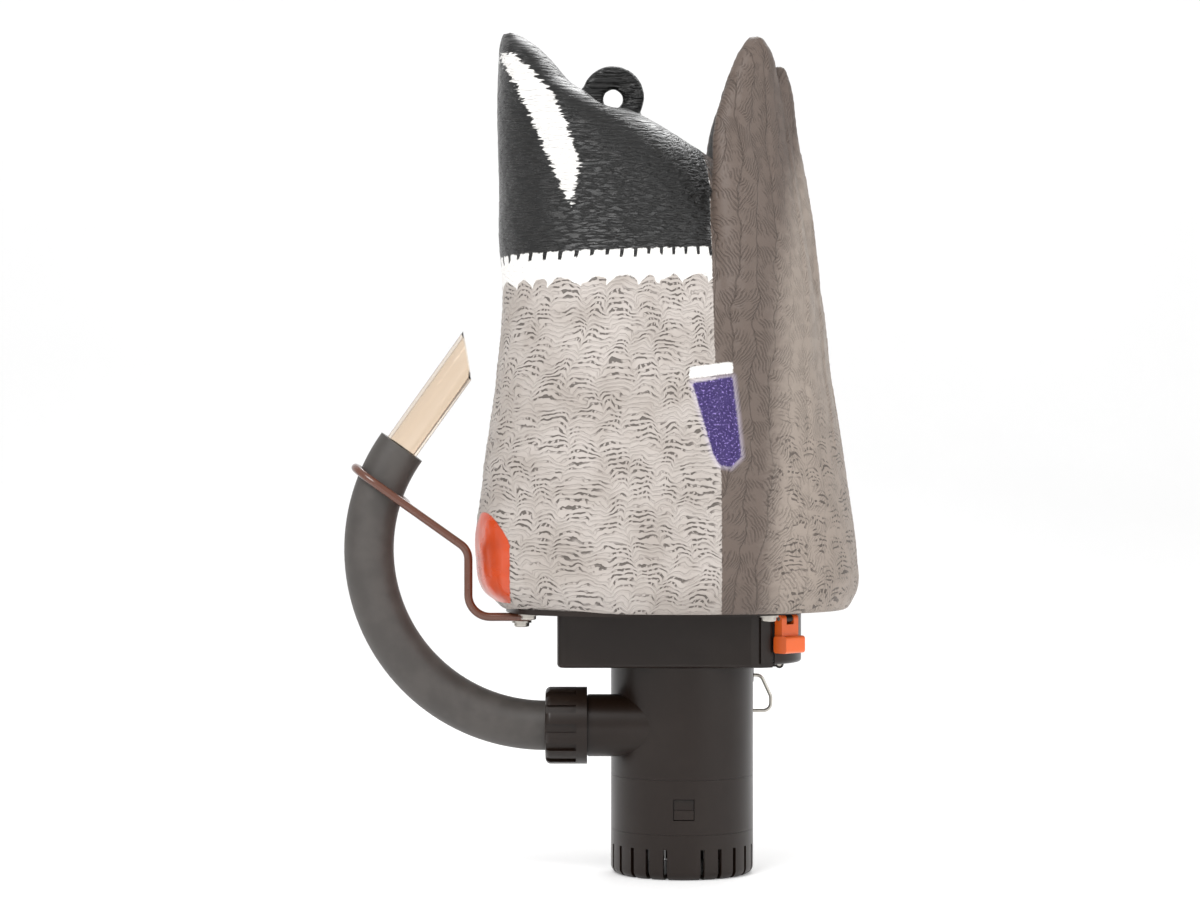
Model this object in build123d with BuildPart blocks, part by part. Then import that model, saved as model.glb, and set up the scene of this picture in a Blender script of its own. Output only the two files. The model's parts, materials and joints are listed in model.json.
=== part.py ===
"""A butt-up duck decoy that floats and squirts water: a hollow moulded duck skin over a base plate,
a battery box with a latched end door, and a pump below it that feeds a curved hose and nozzle.

Millimetres. +Z is up, +X points to the duck's back, +Y to its left side, and the origin is the centre
of the face that the pump's strainer stands on.
"""

from build123d import *
import os
from math import cos, pi, radians, sin

os.makedirs("parts", exist_ok=True)

# ---------------------------------------------------------------- driving dimensions
GAP = 0.4  # clearance between pieces that only stand side by side
SEAM = 0.1  # clearance between pieces that are clamped or fitted together
RUNNING = 0.06  # radial clearance of a shaft or pin that turns

# Pump, on the Z axis
PUMP_RADIUS = 36.2
PUMP_WALL = 2.8
STRAINER_HEIGHT = 22.6
STRAINER_FLOOR = 2.4
STRAINER_EDGE = 4.0
SKIRT_HEIGHT = 27.2
UPPER_HEIGHT = 56.1
SLOT_PITCH = 15
SLOT_WIDTH = 2.1
SLOT_HEIGHT = 15.3
SLOT_INWARD = 9.0
WINDOW_SIZE = 10.6
WINDOW_CENTRE_UP = 12.6
BUTTON_RECESS = 0.7
BUTTON_GRIP_HEIGHT = 4.6
BUTTON_FLANGE = 12.8
BUTTON_FLANGE_THICKNESS = 1.4
BUTTON_TRAVEL = 2.0
INLET_PLATE_UP = 19.3
INLET_PLATE = 2.4
INLET_RADIUS = 12.0
O_RING_RADIUS = 1.05

# Motor inside the pump
CAN_RADIUS = 24.0
CAN_WALL = 1.6
CAN_BOTTOM_UP = 7.0
CAP_HEIGHT = 3.2
HUB_RADIUS = 8.5
SHAFT_RADIUS = 2.0
BUSH_RADIUS = 4.5
BUSH_LENGTH = 6.0
SEAL_RADIUS = 6.5
SEAL_LENGTH = 5.0
MAGNET_THICKNESS = 5.0
MAGNET_LENGTH = 26.0
MAGNET_SWEEP = 130.0
AIR_GAP = 0.5
ARMATURE_LENGTH = 20.0
ARMATURE_SLOTS = 5
ARMATURE_SLOT_WIDTH = 3.0
COMMUTATOR_RADIUS = 6.0
COMMUTATOR_LENGTH = 6.0
BRUSH_SIDE = 4.0
BRUSH_LENGTH = 6.0
IMPELLER_RADIUS = 21.0
IMPELLER_HUB_RADIUS = 6.0
IMPELLER_DISC = 2.0
IMPELLER_VANE_HEIGHT = 7.0
IMPELLER_VANE_THICKNESS = 1.8
IMPELLER_VANES = 5
IMPELLER_CLEARANCE = 2.0

# Outlet, hose nut, hose and nozzle. Their axis lies in the plane Y = OUTLET_Y.
OUTLET_Y = -16.3
OUTLET_UP = 26.0
OUTLET_SHOULDER = 0.5
OUTLET_END_X = -47.9
SPIGOT_LENGTH = 13.2
SPIGOT_WALL = 2.3
HOSE_RADIUS = 12.5
HOSE_BORE_RADIUS = 9.0
BARB_LENGTH = 18.5
BARB_WALL = 1.8
NUT_WALL = 4.1
NUT_LENGTH = 21.0
NUT_COLLAR = 5.6
NUT_RIBS = 12
NUT_GROOVE_WIDTH = 4.3
NUT_GROOVE_DEPTH = 1.6
NUT_END_WALL = 3.0
NUT_END_ROUND = 2.8
GLAND_LENGTH = 4.2
HOSE_BEND_RADIUS = 88.8
HOSE_BEND_ANGLE = 125.6
HOSE_BEND_START_X = -69.6
NOZZLE_WALL = 1.75
NOZZLE_INSERTED_ANGLE = 16.0
NOZZLE_LONG_SIDE = 65.5
NOZZLE_CUT_ANGLE = 45.0

# Wire bracket that holds the hose
WIRE_RADIUS = 2.1
LOOP_CLEARANCE = 1.0
LOOP_TILT = 35.5
LOOP_AT_ANGLE = 111.2
LOOP_SWEEP = 305.0
STEM_DOWN_X = -107.6
STEM_UPPER_BEND = 9.0
STEM_LOWER_BEND = 11.0
EYE_CENTRE_X = -81.0
EYE_SWEEP = 250.0

# Base plate, gasket, their screws and the battery box
PLATE_UP = 27.5
PLATE_THICKNESS = 2.5
PLATE_CENTRE_X = -13.5
PLATE_HALF_LENGTH = 76.0
PLATE_HALF_WIDTH = 74.0
PLATE_SQUARENESS = 3.0
GASKET_THICKNESS = 0.9
GASKET_WIDTH = 9.0
SCREW_RADIUS = 2.0
SCREW_HEAD_RADIUS = 3.8
SCREW_HEAD = 2.1
SCREW_LENGTH = 11.0
WASHER_RADIUS = 4.9
WASHER_THICKNESS = 0.9
BOSS_RADIUS = 4.6
BOSS_HEIGHT = 9.0
BASE_SCREW_PLACES = [(-77.3, -42.0), (-77.3, 42.0), (41.0, -57.0), (41.0, 57.0)]
BOX_LEFT_X = -63.2
BOX_RIGHT_X = 44.5
BOX_HALF_WIDTH = 37.7
BOX_END_CENTRE_X = 21.0
BOX_END_RADIUS = 39.7
BOX_WALL = 2.4
BOX_CORNER = 5.0
BOX_BOTTOM_EDGE = 2.0
BOX_RIB_X = 38.4
BOX_RIB_WIDTH = 4.8
BOX_RIB_HEIGHT = 1.1
BOX_FLANGE_WIDTH = 7.0
BOX_FLANGE_THICKNESS = 2.4
LID_THICKNESS = 2.4
PUMP_SCREW_CIRCLE = 29.0
PUMP_SCREW_RADIUS = 1.5
PUMP_SCREW_ANGLES = (90, 210, 330)
PUMP_BOSS_RADIUS = 3.6
PUMP_BOSS_HEIGHT = 8.0

# End door, its hinge and its two latches
DOOR_GAP = 1.0
DOOR_SHELL = 2.4
DOOR_TOP_CLEARANCE = 1.2
DOOR_BOTTOM_UP = 1.3
DOOR_GASKET = 0.8
DOOR_GASKET_WIDTH = 2.0
OPENING_HALF_WIDTH = 28.4
OPENING_BOTTOM_UP = 4.4
OPENING_TOP_UP = 24.6
DOOR_HINGE_X = 49.0
DOOR_HINGE_UP = 0.4
DOOR_KNUCKLE_RADIUS = 2.2
DOOR_KNUCKLE_HALF = 7.0
DOOR_LUG_WIDTH = 4.0
DOOR_PIN_RADIUS = 1.1
LATCH_ANGLE = 44.0
LATCH_STAND_OFF = 0.4
LATCH_WIDTH = 12.5
LATCH_HALF_THICKNESS = 2.4
LATCH_PIVOT_UP = 24.3
LATCH_BOTTOM_UP = 7.2
LATCH_LIP_REACH = 3.6
LATCH_LIP_HEIGHT = 8.6
LATCH_LIP_WIDTH = 14.4
LATCH_LUG_WIDTH = 4.6
LATCH_PIN_RADIUS = 1.0

# Anchor ring
ANCHOR_X = 36.7
ANCHOR_Y = 30.0
ANCHOR_WIRE_RADIUS = 0.9
ANCHOR_PIVOT_DOWN = 8.2
ANCHOR_RING_HEIGHT = 18.4
ANCHOR_RING_HALF_WIDTH = 10.2
ANCHOR_CORNER_BEND = 3.8
ANCHOR_LUG_THICKNESS = 2.4
ANCHOR_LUG_WIDTH = 7.0
ANCHOR_HOLE_RADIUS = 1.5

# Battery and electronics in the box
CELL_RADIUS = 8.95
CELL_LENGTH = 65.0
CELL_PITCH = 18.2
CELL_COUNT = 3
SLEEVE_WALL = 0.4
BATTERY_END_X = 40.5
BATTERY_BOTTOM_UP = 5.4
RAIL_Y = 20.0
BOARD_LEFT_X = -57.0
BOARD_LENGTH = 28.5
BOARD_WIDTH = 46.0
BOARD_THICKNESS = 1.6
BOARD_UP = 7.8
LEAD_RADIUS = 1.2
GLAND_X = -18.0
GLAND_RADIUS = 4.0
LEAD_BEND = 3.0
BATTERY_LEAD_UP = 5.0

# Duck skin. Each body section is (height, front x, back x, half width, squareness).
SKIN_WALL = 2.4
SKIN_FLOOR = 2.4
BODY_SECTIONS = [
    (0.0, -90.5, 83.0, 75.0, 2.6),
    (7.0, -100.5, 88.5, 81.0, 2.6),
    (24.0, -104.6, 89.0, 82.5, 2.6),
    (65.0, -101.5, 83.5, 80.0, 2.6),
    (115.0, -94.6, 75.2, 72.5, 2.6),
    (165.0, -91.8, 68.5, 61.5, 2.5),
    (183.0, -93.6, 62.0, 56.5, 2.4),
    (206.0, -93.6, 37.0, 50.5, 2.3),
    (230.0, -94.2, 8.5, 45.0, 2.2),
    (249.0, -94.6, -23.0, 40.0, 2.2),
    (263.0, -94.4, -55.0, 36.0, 2.2),
    (272.0, -94.0, -63.0, 32.0, 2.2),
    (282.5, -93.4, -73.5, 24.0, 2.2),
    (289.5, -92.0, -83.0, 12.0, 2.0),
]
# Each wing section is (height, centre x, centre y, half length, half thickness, yaw in degrees).
WING_SECTIONS = [
    (40.0, 42.0, -44.0, 26.0, 12.0, 34.0),
    (80.0, 42.5, -46.0, 27.0, 14.0, 35.0),
    (115.0, 42.0, -46.5, 28.0, 15.0, 36.0),
    (165.0, 39.5, -43.5, 27.5, 15.0, 37.0),
    (206.0, 36.0, -38.0, 25.5, 13.0, 40.0),
    (240.0, 34.0, -34.0, 23.0, 11.0, 42.0),
    (264.0, 35.0, -31.5, 14.5, 9.0, 42.0),
    (277.0, 35.8, -31.0, 8.5, 7.0, 42.0),
    (284.0, 35.6, -30.5, 3.5, 3.2, 42.0),
]
# The tertial feathers behind the wing tip, as the wing sections.
TERTIAL_SECTIONS = [
    (110.0, 50.0, -17.0, 21.0, 18.0, 0.0),
    (165.0, 50.0, -17.0, 18.5, 16.0, 0.0),
    (206.0, 49.5, -17.0, 13.5, 12.5, 0.0),
    (240.0, 49.0, -17.0, 8.3, 9.0, 0.0),
    (262.0, 48.8, -17.0, 5.2, 6.0, 0.0),
    (271.0, 48.5, -17.0, 2.4, 2.6, 0.0),
]
CURL_X = -35.2
CURL_UP = 257.7
CURL_RADIUS = 14.8
CURL_THICKNESS = 9.0
CURL_HOLE_RADIUS = 5.1
CURL_HOLE_DROP = 1.2
CURL_SADDLE_RADIUS = 12.0
CAVITY_DROP = 3.0
CAVITY_TOP = 238.0

# ---------------------------------------------------------------- places worked out from them
SKIRT_BOTTOM_Z = STRAINER_HEIGHT + SEAM
UPPER_BOTTOM_Z = SKIRT_BOTTOM_Z + SKIRT_HEIGHT + SEAM
UPPER_TOP_Z = UPPER_BOTTOM_Z + UPPER_HEIGHT
WINDOW_CENTRE_Z = SKIRT_BOTTOM_Z + WINDOW_CENTRE_UP
INLET_PLATE_Z = SKIRT_BOTTOM_Z + INLET_PLATE_UP
CAN_BOTTOM_Z = UPPER_BOTTOM_Z + CAN_BOTTOM_UP
OUTLET_Z = UPPER_BOTTOM_Z + OUTLET_UP
BOX_BOTTOM_Z = UPPER_TOP_Z + SEAM
BOX_FLOOR_Z = BOX_BOTTOM_Z + BOX_WALL
PLATE_BOTTOM_Z = BOX_BOTTOM_Z + PLATE_UP
DOOR_BOTTOM_Z = BOX_BOTTOM_Z + DOOR_BOTTOM_UP
OPENING_BOTTOM_Z = BOX_BOTTOM_Z + OPENING_BOTTOM_UP
OPENING_TOP_Z = BOX_BOTTOM_Z + OPENING_TOP_UP
DOOR_HINGE_Z = BOX_BOTTOM_Z + DOOR_HINGE_UP
LATCH_PIVOT_Z = BOX_BOTTOM_Z + LATCH_PIVOT_UP
LATCH_BOTTOM_Z = BOX_BOTTOM_Z + LATCH_BOTTOM_UP
ANCHOR_TOP_Z = BOX_BOTTOM_Z - ANCHOR_PIVOT_DOWN
BATTERY_BOTTOM_Z = BOX_BOTTOM_Z + BATTERY_BOTTOM_UP
BOARD_Z = BOX_BOTTOM_Z + BOARD_UP
PUMP_BORE = PUMP_RADIUS - PUMP_WALL
PLATE_TOP_Z = PLATE_BOTTOM_Z + PLATE_THICKNESS
SKIN_BOTTOM_Z = PLATE_TOP_Z + GASKET_THICKNESS
SKIN_FLOOR_Z = SKIN_BOTTOM_Z + SKIN_FLOOR
CURL_Z = SKIN_BOTTOM_Z + CURL_UP
FLANGE_Z = SKIN_FLOOR_Z + SEAM
FLANGE_TOP_Z = FLANGE_Z + BOX_FLANGE_THICKNESS
CAN_TOP_Z = UPPER_TOP_Z - PUMP_WALL - SEAM
CAP_BOTTOM_Z = CAN_TOP_Z - CAP_HEIGHT
HUB_TOP_Z = CAN_BOTTOM_Z + SEAL_LENGTH + BUSH_LENGTH + 2 * SEAM
COMMUTATOR_TOP_Z = CAP_BOTTOM_Z - CAP_HEIGHT - GAP
COMMUTATOR_BOTTOM_Z = COMMUTATOR_TOP_Z - COMMUTATOR_LENGTH
ARMATURE_TOP_Z = COMMUTATOR_BOTTOM_Z - GAP
MAGNET_OUTER = CAN_RADIUS - CAN_WALL - SEAM
ARMATURE_RADIUS = MAGNET_OUTER - MAGNET_THICKNESS - AIR_GAP
IMPELLER_TOP_Z = CAN_BOTTOM_Z - IMPELLER_CLEARANCE
IMPELLER_BOTTOM_Z = IMPELLER_TOP_Z - IMPELLER_DISC - IMPELLER_VANE_HEIGHT
SHAFT_BOTTOM_Z = IMPELLER_BOTTOM_Z + 1.0
SHAFT_TOP_Z = CAN_TOP_Z - 1.0
NUT_RIGHT_X = OUTLET_END_X - GAP
SPIGOT_LEFT_X = OUTLET_END_X - SPIGOT_LENGTH
HOSE_RIGHT_X = OUTLET_END_X - 1.0
BEND_CENTRE_Z = OUTLET_Z + HOSE_BEND_RADIUS
BARB_RADIUS = HOSE_BORE_RADIUS - SEAM
SPIGOT_RADIUS = HOSE_RADIUS + GAP + SPIGOT_WALL
OUTLET_RADIUS = SPIGOT_RADIUS + OUTLET_SHOULDER
NUT_RADIUS = SPIGOT_RADIUS + SEAM + NUT_WALL
BUTTON_BACK_Y = PUMP_BORE - 1.0
DOOR_LEFT_X = BOX_RIGHT_X + DOOR_GAP
DOOR_TOP_Z = PLATE_BOTTOM_Z - DOOR_TOP_CLEARANCE
LATCH_PIVOT_REACH = BOX_END_RADIUS + LATCH_STAND_OFF + LATCH_HALF_THICKNESS
WIRE_Z = PLATE_BOTTOM_Z - SEAM - WIRE_RADIUS
LOOP_RADIUS = HOSE_RADIUS + LOOP_CLEARANCE + WIRE_RADIUS
EYE_RADIUS = SCREW_RADIUS + SEAM + WIRE_RADIUS
STEM_Y = OUTLET_Y - LOOP_RADIUS
EYE_Y = STEM_Y + EYE_RADIUS
SCREW_PLACES = [*BASE_SCREW_PLACES, (EYE_CENTRE_X, EYE_Y)]
PUMP_SCREW_PLACES = [
    (PUMP_SCREW_CIRCLE * cos(radians(angle)), PUMP_SCREW_CIRCLE * sin(radians(angle)))
    for angle in PUMP_SCREW_ANGLES
]
O_RING_PLACE = (
    PUMP_BORE - SEAM / 2 - O_RING_RADIUS,
    UPPER_BOTTOM_Z - 3.4 + O_RING_RADIUS + SEAM / 2,
)
CAVITY_LIMIT = 400.0


def save(piece, name):
    """Labels a finished piece and writes its STEP file."""
    piece.label = name
    export_step(piece, f"parts/{name}.step")


def rounded_outline(centre_x, half_length, half_width, squareness, count=24):
    """Points of a rounded outline about (centre_x, 0), for a closed curve through them."""
    points = []
    for k in range(count):
        turn = 2 * pi * k / count
        along = abs(cos(turn) / half_length) ** squareness
        across = abs(sin(turn) / half_width) ** squareness
        reach = (along + across) ** (-1 / squareness)
        points.append((centre_x + reach * cos(turn), reach * sin(turn)))
    return points


def outlet_plane(x):
    """The plane across the outlet's axis at x, facing the hose."""
    return Plane(origin=(x, OUTLET_Y, OUTLET_Z), x_dir=(0, 1, 0), z_dir=(-1, 0, 0))


def bend_point(angle):
    """A point on the hose's centre line, angle degrees after the bend's start."""
    turn = radians(270 - angle)
    x = HOSE_BEND_START_X + HOSE_BEND_RADIUS * cos(turn)
    return (x, OUTLET_Y, BEND_CENTRE_Z + HOSE_BEND_RADIUS * sin(turn))


def bend_direction(angle):
    """The hose's direction at that point."""
    turn = radians(270 - angle)
    return (sin(turn), 0, -cos(turn))


def box_plan(outset, end_x):
    """Sketches the battery box's plan, with its bowed end cut at end_x."""
    length = end_x - BOX_LEFT_X + outset
    with Locations(((BOX_LEFT_X - outset + end_x) / 2, 0)):
        Rectangle(length, 2 * (BOX_HALF_WIDTH + outset))
    with Locations((BOX_END_CENTRE_X, 0)):
        Circle(BOX_END_RADIUS + outset, mode=Mode.INTERSECT)
    with Locations(((BOX_LEFT_X - outset + BOX_END_CENTRE_X) / 2, 0)):
        Rectangle(BOX_END_CENTRE_X - BOX_LEFT_X + outset, 2 * (BOX_HALF_WIDTH + outset))


# ---------------------------------------------------------------- duck skin
def body_solid(inset, drop, low, high):
    """The duck's body and tail from section to section, shrunk by inset and lowered by drop."""
    with BuildPart() as body:
        for height, front, back, half_width, squareness in BODY_SECTIONS:
            if low <= height <= high:
                half_length = (back - front) / 2 - inset
                outline = rounded_outline(
                    (front + back) / 2, half_length, half_width - inset, squareness
                )
                with BuildSketch(Plane.XY.offset(SKIN_BOTTOM_Z + height - drop)):
                    with BuildLine():
                        Spline(*outline, periodic=True)
                    make_face()
        loft()
    return body.part


def feather_solid(sections, side):
    """A wing or tertial of one side, -1 for the right side and 1 for the left."""
    with BuildPart() as feather:
        for height, x, y, half_length, half_thickness, yaw in sections:
            place = Plane(
                origin=(x, -side * y, SKIN_BOTTOM_Z + height),
                x_dir=(cos(radians(yaw)), -side * sin(radians(yaw)), 0),
                z_dir=(0, 0, 1),
            )
            with BuildSketch(place):
                Ellipse(half_length, half_thickness)
        loft()
    return feather.part


def cavity_solid():
    """The hollow inside the body, closed below the tail."""
    inner_body = body_solid(SKIN_WALL, CAVITY_DROP, 0.0, 263.0)
    with BuildPart() as cavity:
        add(inner_body)
        with BuildSketch(Plane.XY.offset(SKIN_BOTTOM_Z + CAVITY_TOP)):
            Rectangle(CAVITY_LIMIT, CAVITY_LIMIT)
        extrude(amount=CAVITY_LIMIT, mode=Mode.SUBTRACT)
        with BuildSketch(Plane.XY.offset(SKIN_FLOOR_Z)):
            Rectangle(CAVITY_LIMIT, CAVITY_LIMIT)
        extrude(amount=-CAVITY_LIMIT, mode=Mode.SUBTRACT)
    return cavity.part


solid_body = body_solid(0.0, 0.0, 0.0, CAVITY_LIMIT)
solid_feathers = [
    feather_solid(sections, side)
    for side in (-1, 1)
    for sections in (WING_SECTIONS, TERTIAL_SECTIONS)
]
hollow = cavity_solid()
with BuildPart() as duck_skin:
    add(solid_body)
    for feather in solid_feathers:
        add(feather)
    # A saddle across the rump leaves room under the drake's curl, which is moulded as a tie loop.
    with BuildSketch(Plane.XZ.offset(-BODY_SECTIONS[0][3])):
        with Locations((CURL_X, CURL_Z + CURL_SADDLE_RADIUS / 3)):
            Circle(CURL_SADDLE_RADIUS)
    extrude(amount=2 * BODY_SECTIONS[0][3], mode=Mode.SUBTRACT)
    with BuildSketch(Plane.XZ.offset(-CURL_THICKNESS / 2)):
        with Locations((CURL_X, CURL_Z)):
            Circle(CURL_RADIUS)
        with Locations((CURL_X - 4.0, CURL_Z - CURL_RADIUS)):
            Rectangle(1.7 * CURL_RADIUS, 1.4 * CURL_RADIUS)
        with Locations((CURL_X, CURL_Z - CURL_HOLE_DROP)):
            Circle(CURL_HOLE_RADIUS, mode=Mode.SUBTRACT)
    extrude(amount=CURL_THICKNESS)
    add(hollow, mode=Mode.SUBTRACT)
    with BuildSketch(Plane.XY.offset(SKIN_BOTTOM_Z + SKIN_FLOOR / 2)):
        with Locations(*SCREW_PLACES):
            Circle(BOSS_RADIUS)
    extrude(amount=BOSS_HEIGHT)
    with BuildSketch(Plane.XY.offset(SKIN_BOTTOM_Z - 1)):
        with Locations(*SCREW_PLACES):
            Circle(SCREW_RADIUS + SEAM)
    extrude(amount=BOSS_HEIGHT, mode=Mode.SUBTRACT)
    with BuildSketch(Plane.XY.offset(SKIN_BOTTOM_Z - 1)):
        box_plan(GAP, BOX_RIGHT_X + GAP)
    extrude(amount=SKIN_FLOOR + 1.5, mode=Mode.SUBTRACT)
save(duck_skin.part, "duck_skin")


# ---------------------------------------------------------------- base plate, gasket and screws
def plate_outline(inset):
    """Sketches the base plate's outline, shrunk by inset."""
    with BuildLine() as outline:
        Spline(
            *rounded_outline(
                PLATE_CENTRE_X,
                PLATE_HALF_LENGTH - inset,
                PLATE_HALF_WIDTH - inset,
                PLATE_SQUARENESS,
            ),
            periodic=True,
        )
    make_face(outline.edges())


with BuildPart() as base_plate:
    with BuildSketch(Plane.XY.offset(PLATE_BOTTOM_Z)):
        plate_outline(0.0)
        with Locations(*SCREW_PLACES):
            Circle(SCREW_RADIUS + SEAM, mode=Mode.SUBTRACT)
    extrude(amount=PLATE_THICKNESS)
    with BuildSketch(Plane.XY.offset(PLATE_BOTTOM_Z - 1)):
        box_plan(GAP, BOX_RIGHT_X + GAP)
    extrude(amount=PLATE_THICKNESS + 2, mode=Mode.SUBTRACT)
save(base_plate.part, "base_plate")

with BuildPart() as base_gasket:
    with BuildSketch(Plane.XY.offset(PLATE_TOP_Z + SEAM / 2)):
        plate_outline(1.0)
    extrude(amount=GASKET_THICKNESS - SEAM)
    with BuildSketch(Plane.XY.offset(PLATE_TOP_Z)):
        plate_outline(1.0 + GASKET_WIDTH)
    extrude(amount=GASKET_THICKNESS, mode=Mode.SUBTRACT)
    with BuildSketch(Plane.XY.offset(PLATE_TOP_Z)):
        with Locations(*SCREW_PLACES):
            Circle(SCREW_RADIUS + SEAM)
    extrude(amount=GASKET_THICKNESS, mode=Mode.SUBTRACT)
save(base_gasket.part, "base_gasket")


def washer_solid(x, y, top_z):
    """A washer whose upper face is at top_z."""
    with BuildPart() as washer:
        with BuildSketch(Plane.XY.offset(top_z - WASHER_THICKNESS)):
            with Locations((x, y)):
                Circle(WASHER_RADIUS)
                Circle(SCREW_RADIUS + SEAM, mode=Mode.SUBTRACT)
        extrude(amount=WASHER_THICKNESS)
    return washer.part


def screw_solid(x, y, under_head_z, length):
    """A pan-headed screw driven upwards, with a cross slot in its head."""
    with BuildPart() as screw:
        with BuildSketch(Plane.XY.offset(under_head_z - SCREW_HEAD)):
            with Locations((x, y)):
                Circle(SCREW_HEAD_RADIUS)
        extrude(amount=SCREW_HEAD)
        fillet(screw.edges().group_by(Axis.Z)[0], 0.45 * SCREW_HEAD)
        with BuildSketch(Plane.XY.offset(under_head_z)):
            with Locations((x, y)):
                Circle(SCREW_RADIUS)
        extrude(amount=length)
        with BuildSketch(Plane.XY.offset(under_head_z - SCREW_HEAD)):
            with Locations((x, y)):
                Rectangle(SCREW_HEAD_RADIUS, 0.9)
                Rectangle(0.9, SCREW_HEAD_RADIUS)
        extrude(amount=SCREW_HEAD / 2, mode=Mode.SUBTRACT)
    return screw.part


for number, (x, y) in enumerate(BASE_SCREW_PLACES, start=1):
    washer_top_z = PLATE_BOTTOM_Z - SEAM / 2
    save(washer_solid(x, y, washer_top_z), f"base_washer_{number}")
    screw = screw_solid(x, y, washer_top_z - WASHER_THICKNESS - SEAM / 2, SCREW_LENGTH)
    save(screw, f"base_screw_{number}")
eye_bottom_z = WIRE_Z - WIRE_RADIUS - SEAM / 2
save(washer_solid(EYE_CENTRE_X, EYE_Y, eye_bottom_z), "bracket_washer")
bracket_head_z = eye_bottom_z - WASHER_THICKNESS - SEAM / 2
save(screw_solid(EYE_CENTRE_X, EYE_Y, bracket_head_z, SCREW_LENGTH + 4.0), "bracket_screw")


# ---------------------------------------------------------------- battery box, lid and fittings
with BuildPart() as battery_box:
    with BuildSketch(Plane.XY.offset(BOX_BOTTOM_Z)):
        box_plan(0.0, BOX_RIGHT_X)
    extrude(amount=FLANGE_TOP_Z - BOX_BOTTOM_Z)
    fillet(battery_box.edges().filter_by(Axis.Z).group_by(Axis.X)[0], BOX_CORNER)
    fillet(battery_box.edges().group_by(Axis.Z)[0].sort_by(Axis.X)[0], BOX_BOTTOM_EDGE)
    with BuildSketch(Plane.XY.offset(BOX_BOTTOM_Z + BOX_BOTTOM_EDGE)):
        box_plan(BOX_RIB_HEIGHT, BOX_RIB_X + BOX_RIB_WIDTH)
        with Locations(((BOX_RIB_X + BOX_LEFT_X) / 2 - BOX_WALL, 0)):
            Rectangle(BOX_RIB_X - BOX_LEFT_X + 2 * BOX_WALL, CAVITY_LIMIT, mode=Mode.SUBTRACT)
    extrude(amount=PLATE_BOTTOM_Z - SEAM - BOX_BOTTOM_Z - BOX_BOTTOM_EDGE)
    with BuildSketch(Plane.XY.offset(FLANGE_Z)):
        with Locations(((BOX_LEFT_X + BOX_RIGHT_X) / 2, 0)):
            RectangleRounded(
                BOX_RIGHT_X - BOX_LEFT_X + 2 * BOX_FLANGE_WIDTH,
                2 * (BOX_HALF_WIDTH + BOX_FLANGE_WIDTH),
                2 * BOX_CORNER,
            )
    extrude(amount=BOX_FLANGE_THICKNESS)
    with BuildSketch(Plane.XY.offset(BOX_FLOOR_Z)):
        box_plan(-BOX_WALL, BOX_RIGHT_X - BOX_WALL)
    extrude(amount=FLANGE_TOP_Z - BOX_FLOOR_Z, mode=Mode.SUBTRACT)
    # The end opening, which the battery slides out of.
    with BuildSketch(Plane.YZ.offset(BOX_RIGHT_X - 2 * BOX_WALL)):
        with Locations((0, (OPENING_BOTTOM_Z + OPENING_TOP_Z) / 2)):
            Rectangle(2 * OPENING_HALF_WIDTH, OPENING_TOP_Z - OPENING_BOTTOM_Z)
    extrude(amount=4 * BOX_WALL, mode=Mode.SUBTRACT)
    # Two rails carry the battery over the motor's lead, and posts carry the board.
    rail_x = BATTERY_END_X - CELL_LENGTH / 2
    rail_height = BATTERY_BOTTOM_Z - SEAM - BOX_FLOOR_Z
    with BuildSketch(Plane.XY.offset(BOX_FLOOR_Z)):
        with Locations((rail_x, -RAIL_Y), (rail_x, RAIL_Y)):
            Rectangle(CELL_LENGTH - 6.0, 2.0)
    extrude(amount=rail_height)
    with BuildSketch(Plane.XY.offset(BOX_FLOOR_Z)):
        with Locations((BOARD_LEFT_X + BOARD_LENGTH / 2, 0)):
            with GridLocations(BOARD_LENGTH - 7.0, BOARD_WIDTH - 7.0, 2, 2):
                Circle(2.4)
    extrude(amount=BOARD_Z - SEAM - BOX_FLOOR_Z)
    # Holes for the pump's screws and the cable gland.
    with BuildSketch(Plane.XY.offset(BOX_BOTTOM_Z - 1)):
        with Locations(*PUMP_SCREW_PLACES):
            Circle(PUMP_SCREW_RADIUS + SEAM)
        with Locations((GLAND_X, 0)):
            Circle(GLAND_RADIUS + SEAM)
    extrude(amount=BOX_WALL + 2, mode=Mode.SUBTRACT)
    # Two lugs hold the door's hinge pin.
    for side in (-1, 1):
        lug_y = side * (DOOR_KNUCKLE_HALF + GAP + DOOR_LUG_WIDTH / 2)
        with BuildSketch(Plane.XZ.offset(-lug_y - DOOR_LUG_WIDTH / 2)):
            with Locations((DOOR_HINGE_X, DOOR_HINGE_Z)):
                Circle(DOOR_KNUCKLE_RADIUS)
            with Locations(((DOOR_HINGE_X + BOX_RIGHT_X - 4.0) / 2, DOOR_HINGE_Z)):
                Rectangle(DOOR_HINGE_X - BOX_RIGHT_X + 4.0, 2.8)
            with Locations((DOOR_HINGE_X, DOOR_HINGE_Z)):
                Circle(DOOR_PIN_RADIUS + SEAM / 2, mode=Mode.SUBTRACT)
        extrude(amount=DOOR_LUG_WIDTH)
    # The anchor ring's lug.
    with BuildSketch(Plane.YZ.offset(ANCHOR_X - ANCHOR_LUG_THICKNESS / 2)):
        with Locations((ANCHOR_Y, ANCHOR_TOP_Z)):
            Circle(ANCHOR_LUG_WIDTH / 2)
        with Locations((ANCHOR_Y, (ANCHOR_TOP_Z + BOX_FLOOR_Z) / 2)):
            Rectangle(ANCHOR_LUG_WIDTH, BOX_FLOOR_Z - ANCHOR_TOP_Z)
        with Locations((ANCHOR_Y, ANCHOR_TOP_Z)):
            Circle(ANCHOR_HOLE_RADIUS, mode=Mode.SUBTRACT)
    extrude(amount=ANCHOR_LUG_THICKNESS)
save(battery_box.part, "battery_box")

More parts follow.
